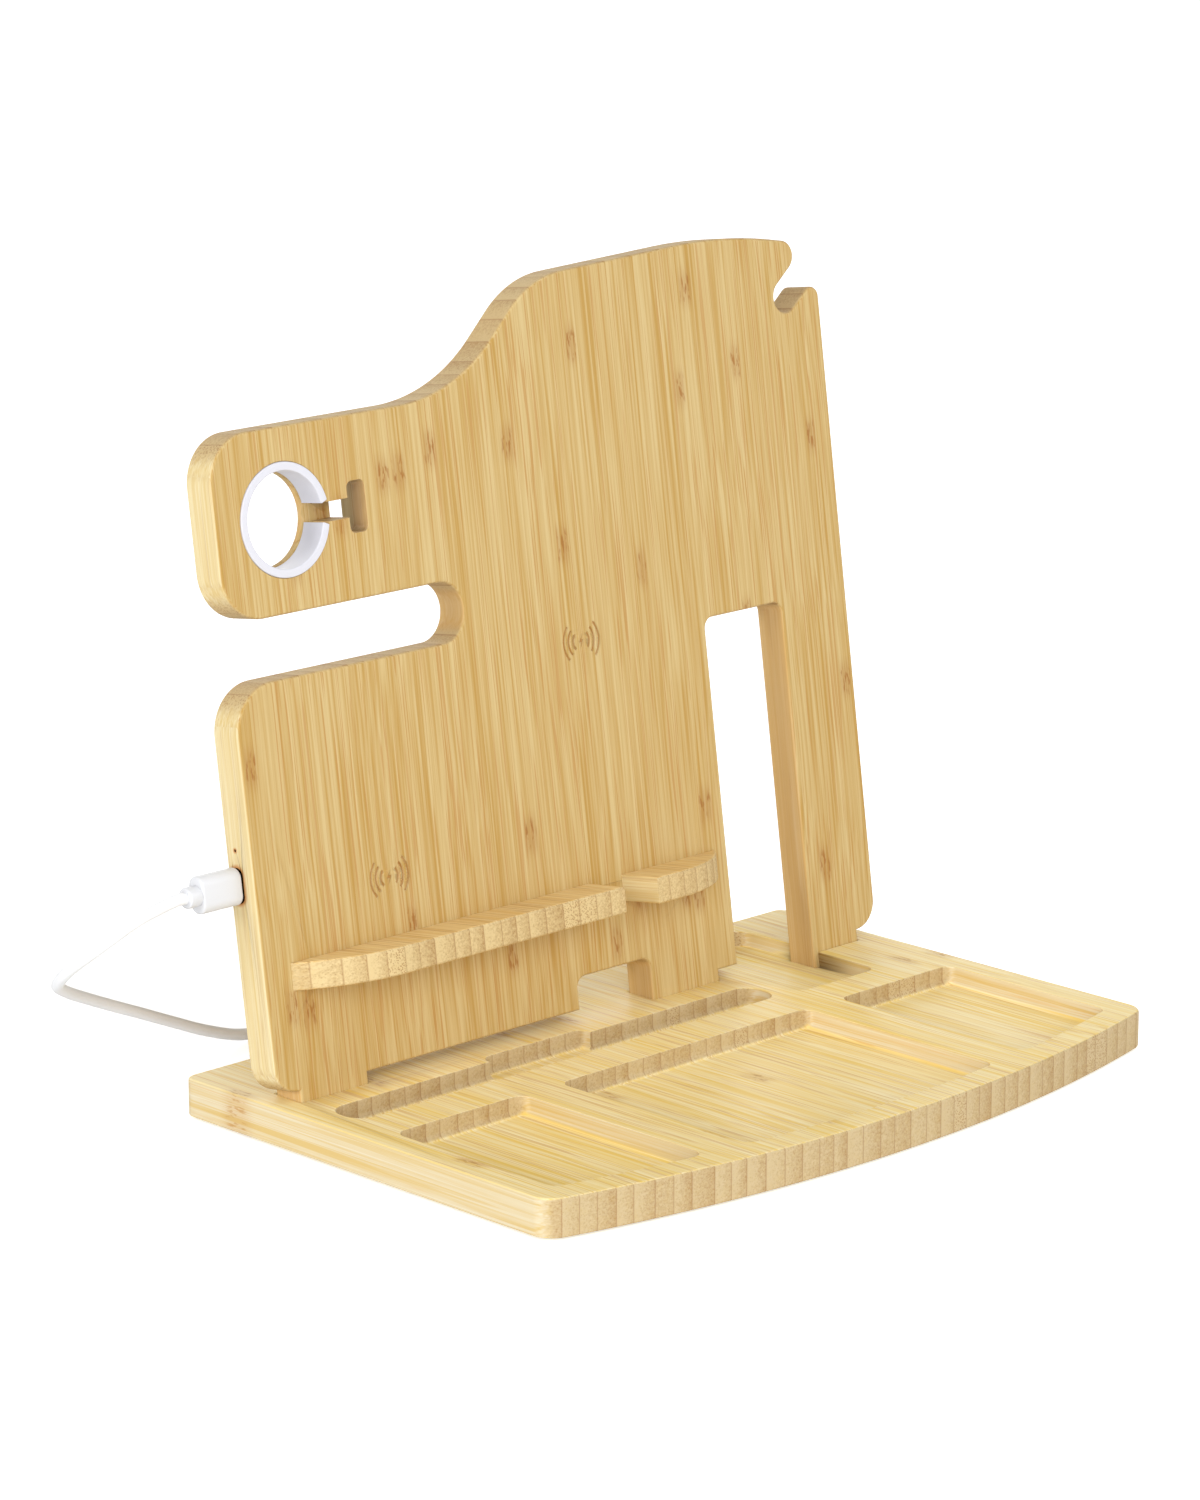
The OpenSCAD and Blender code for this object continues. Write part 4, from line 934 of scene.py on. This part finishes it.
# %% Fine texture group
def texture_group():
    tree, given, out = new_group(
        "fine texture",
        [("Size", "NodeSocketFloat", 0.4), ("Stretch", "NodeSocketVector", (1, 1, 1)),
         ("Roughness", "NodeSocketFloat", 0.4), ("Spread", "NodeSocketFloat", 0.1)],
        [("Height", "NodeSocketFloat"), ("Roughness", "NodeSocketFloat"), ("Cloud", "NodeSocketFloat")],
    )
    place = add(tree, "ShaderNodeTexCoord").outputs["Object"]
    stretched = vector_calc(tree, "MULTIPLY", place, given["Stretch"])
    scale = calc(tree, "DIVIDE", 1000.0, given["Size"])
    grain = noise(tree, stretched, scale, detail=3)
    cloud = noise(tree, place, 60.0, detail=2)
    tree.links.new(grain, out["Height"])
    rough = calc(tree, "MULTIPLY_ADD", calc(tree, "SUBTRACT", cloud, 0.5), given["Spread"], given["Roughness"])
    tree.links.new(rough, out["Roughness"])
    tree.links.new(cloud, out["Cloud"])
    return tree


TEXTURE = texture_group()


def plain(name, color, rough=0.4, spread=0.15, size=0.4, depth=0.02, stretch=(1, 1, 1), metal=0.0,
          cloudy=0.05, **sockets):
    """One base colour with a faint cloud in it, the fine texture as bump, and any fixed values."""
    material, tree, shader = new_material(name)
    skin_node = add(tree, "ShaderNodeGroup", node_tree=TEXTURE)
    for key, value in (("Size", size), ("Stretch", stretch), ("Roughness", rough), ("Spread", spread)):
        skin_node.inputs[key].default_value = value
    darker = tuple(c * (1 - 2 * cloudy) for c in color[:3]) + (1.0,)
    shade = mix(tree, skin_node.outputs["Cloud"], darker, color)
    tree.links.new(shade, shader.inputs["Base Color"])
    tree.links.new(skin_node.outputs["Roughness"], shader.inputs["Roughness"])
    tree.links.new(bump(tree, skin_node.outputs["Height"], depth), shader.inputs["Normal"])
    shader.inputs["Metallic"].default_value = metal
    for key, value in sockets.items():
        shader.inputs[key.replace("_", " ")].default_value = value
    return material


white_plastic = plain("white plastic", srgb(214, 214, 222), rough=0.32, cloudy=0.01)
white_grip = plain("white grip", srgb(218, 219, 222), rough=0.42, cloudy=0.01)
jacket = plain("cord jacket", srgb(238, 239, 241), rough=0.5, size=0.8, cloudy=0.01)
rubber = plain("foot rubber", srgb(42, 42, 43), rough=0.75, size=0.3, depth=0.04)
steel = plain("shell steel", srgb(196, 197, 201), rough=0.22, metal=1.0, size=0.3, stretch=(0.1, 1, 1), depth=0.004)
zinc = plain("screw zinc", srgb(176, 177, 180), rough=0.3, metal=1.0, size=0.2, depth=0.008)
ferrite = plain("ferrite", srgb(62, 62, 66), rough=0.6, size=0.3)
black_case = plain("component black", srgb(34, 34, 36), rough=0.45, size=0.2)
red_wire = plain("lead red", srgb(168, 42, 34), rough=0.4)
beech = plain("beech dowel", srgb(214, 178, 128), rough=0.7, size=0.5, stretch=(1, 0.08, 1), cloudy=0.15)
strap = plain("tie strap", srgb(70, 70, 73), rough=0.85, size=0.5, depth=0.15)
dress(white_plastic, ring)
dress(white_grip, grip, collar, far_grip, far_relief)
dress(jacket, cord)
dress(rubber, feet)
dress(steel, nodes["plug_shell"], nodes["far_plug_shell"], nodes["usb_socket"])
dress(zinc, nodes["cover_screws"])
dress(ferrite, nodes["ferrite_lower"], nodes["ferrite_upper"])
dress(black_case, nodes["board_components"], nodes["status_led"])
dress(red_wire, nodes["coil_leads"])
dress(beech, nodes["ledge_dowels"])
dress(strap, nodes["cable_ties"])

# %% [markdown]
# The charging coils are flat spirals of enamelled copper wire, the circuit board is green under
# its solder mask, and the light pipe is clear. They lie behind the rear cover, so rings and tracks
# are only in their materials.


# %% Coils, circuit board and light pipe
def copper_turns(name, node):
    """Rings of wire: the distance from the coil's middle, in wire widths, waves the height."""
    material, tree, shader = new_material(name)
    low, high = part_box(node)
    middle = tuple((low + high) / 2)
    place = add(tree, "ShaderNodeTexCoord").outputs["Object"]
    away = vector_calc(tree, "SUBTRACT", place, middle)
    radius = add(tree, "ShaderNodeVectorMath", {0: away}, operation="LENGTH").outputs["Value"]
    wave = calc(tree, "SINE", calc(tree, "MULTIPLY", radius, 2 * math.pi / (0.8 * MM)))
    wire = fade(tree, wave, -1.0, 1.0)
    tree.links.new(mix(tree, wire, srgb(110, 58, 34), srgb(206, 128, 84)), shader.inputs["Base Color"])
    tree.links.new(bump(tree, wire, 0.3), shader.inputs["Normal"])
    shader.inputs["Metallic"].default_value = 0.9
    shader.inputs["Roughness"].default_value = 0.35
    return material


def solder_mask(name):
    """Tracks: a brick pattern's joints, slightly paler and raised, on the green mask."""
    material, tree, shader = new_material(name)
    place = add(tree, "ShaderNodeTexCoord").outputs["Object"]
    turned_place = xyz(tree, *(vector_calc(tree, "DOT_PRODUCT", place, axis)
                               for axis in ((1, 0, 0), tuple(board_up), tuple(board_deep))))
    bricks = add(
        tree, "ShaderNodeTexBrick",
        {"Vector": turned_place, "Scale": 400.0, "Mortar Size": 0.04, "Color1": srgb(18, 84, 46),
         "Color2": srgb(22, 92, 52), "Mortar": srgb(60, 140, 84)},
    ).outputs
    tree.links.new(bricks["Color"], shader.inputs["Base Color"])
    tree.links.new(bump(tree, bricks["Fac"], 0.03), shader.inputs["Normal"])
    shader.inputs["Roughness"].default_value = 0.35
    return material


def clear_plastic(name):
    material, tree, shader = new_material(name)
    place = add(tree, "ShaderNodeTexCoord").outputs["Object"]
    rough = fade(tree, noise(tree, place, 900.0), 0.3, 0.7, 0.05, 0.2)
    tree.links.new(rough, shader.inputs["Roughness"])
    shader.inputs["Base Color"].default_value = srgb(235, 240, 245)
    shader.inputs["Transmission Weight"].default_value = 0.8
    shader.inputs["IOR"].default_value = 1.49
    return material


for node in ("coil_lower", "coil_upper"):
    dress(copper_turns(node + " copper", node), nodes[node])
dress(solder_mask("solder mask"), nodes["circuit_board"])
dress(clear_plastic("light pipe plastic"), nodes["light_pipe"])
print("materials:", len(bpy.data.materials))

# %% [markdown]
# ## Table, lamps and background
# A plain studio: the light comes from the left, soft enough to leave only a faint shadow, and the
# surroundings light the other sides. The background is white because the floor is pale and
# because the camera and mirror-like surfaces see a white world; the object isn't lit by that.


# %% Floor and world
def white_floor():
    material, tree, shader = new_material("floor white")
    place = add(tree, "ShaderNodeTexCoord").outputs["Object"]
    speck = noise(tree, place, 300.0)
    tree.links.new(mix(tree, speck, srgb(244, 244, 244), srgb(249, 249, 249)), shader.inputs["Base Color"])
    shader.inputs["Roughness"].default_value = 0.9
    shader.inputs["Specular IOR Level"].default_value = 0.0
    glow = add(tree, "ShaderNodeEmission", {"Color": (1, 1, 1, 1), "Strength": 0.5})
    seen = add(tree, "ShaderNodeLightPath").outputs["Is Camera Ray"]
    none = add(tree, "ShaderNodeEmission", {"Color": (0, 0, 0, 1), "Strength": 0.0})
    lift = add(tree, "ShaderNodeMixShader", {0: seen, 1: none.outputs[0], 2: glow.outputs[0]})
    both = add(tree, "ShaderNodeAddShader", {0: shader.outputs[0], 1: lift.outputs[0]})
    tree.links.new(both.outputs[0], tree.nodes["Material Output"].inputs["Surface"])
    return material


FLOOR_HALF = 4.0
floor_corners = FLOOR_HALF * np.array([[-1, -1, 0], [1, -1, 0], [1, 1, 0], [-1, 1, 0]])
floor = new_piece("floor", floor_corners, [[0, 1, 2, 3]])
floor.data.flip_normals() if floor.data.polygons[0].normal.z < 0 else None
dress(white_floor(), floor)

AMBIENT = 0.35
SHEEN = 0.4
world = bpy.data.worlds.new("studio")
bpy.context.scene.world = world
world.use_nodes = True
sky = world.node_tree
sky.nodes.clear()
rays = add(sky, "ShaderNodeLightPath").outputs
shown = calc(sky, "MAXIMUM", rays["Is Camera Ray"], rays["Is Transmission Ray"])
strength = calc(sky, "MULTIPLY_ADD", shown, 1.0 - AMBIENT, AMBIENT)
strength = calc(sky, "MULTIPLY_ADD", rays["Is Glossy Ray"], SHEEN - AMBIENT, strength)
backdrop = add(sky, "ShaderNodeBackground", {"Color": (1, 1, 1, 1), "Strength": strength})
sky_out = add(sky, "ShaderNodeOutputWorld", {"Surface": backdrop.outputs[0]})


# %% Lamps
def lamp(name, direction, strength, softness, away=None):
    """A sun shines the same way everywhere; its softness is the angle that it fills in the sky. A
    lamp with a distance is a disc that fills this angle, and so its light fades across the piece."""
    light = bpy.data.lights.new(name, "AREA" if away else "SUN")
    piece = bpy.data.objects.new(name, light)
    piece.rotation_euler = Vector(direction).to_track_quat("Z", "Y").to_euler()
    if away:
        light.shape = "DISK"
        light.size = 2 * away * math.tan(math.radians(softness / 2))
        light.energy = strength * math.pi * (away / math.cos(math.radians(softness / 2))) ** 2
        piece.location = Vector(direction).normalized() * away
    else:
        light.energy = strength
        light.angle = math.radians(softness)
    bpy.context.scene.collection.objects.link(piece)
    print(name, "shines from", direction)


lamp("key", (-0.93, 0.05, 0.36), 1.3, 24)
lamp("front left", (-0.58, -0.77, 0.22), 2.25, 60, away=2.8)
lamp("front right", (0.60, -0.75, 0.25), 0.5, 60)
lamp("above right", (0.35, -0.60, 0.75), 0.65, 60)
lamp("rear", (0.30, 0.90, 0.30), 1.2, 60)

bpy.context.scene.view_settings.view_transform = "Standard"
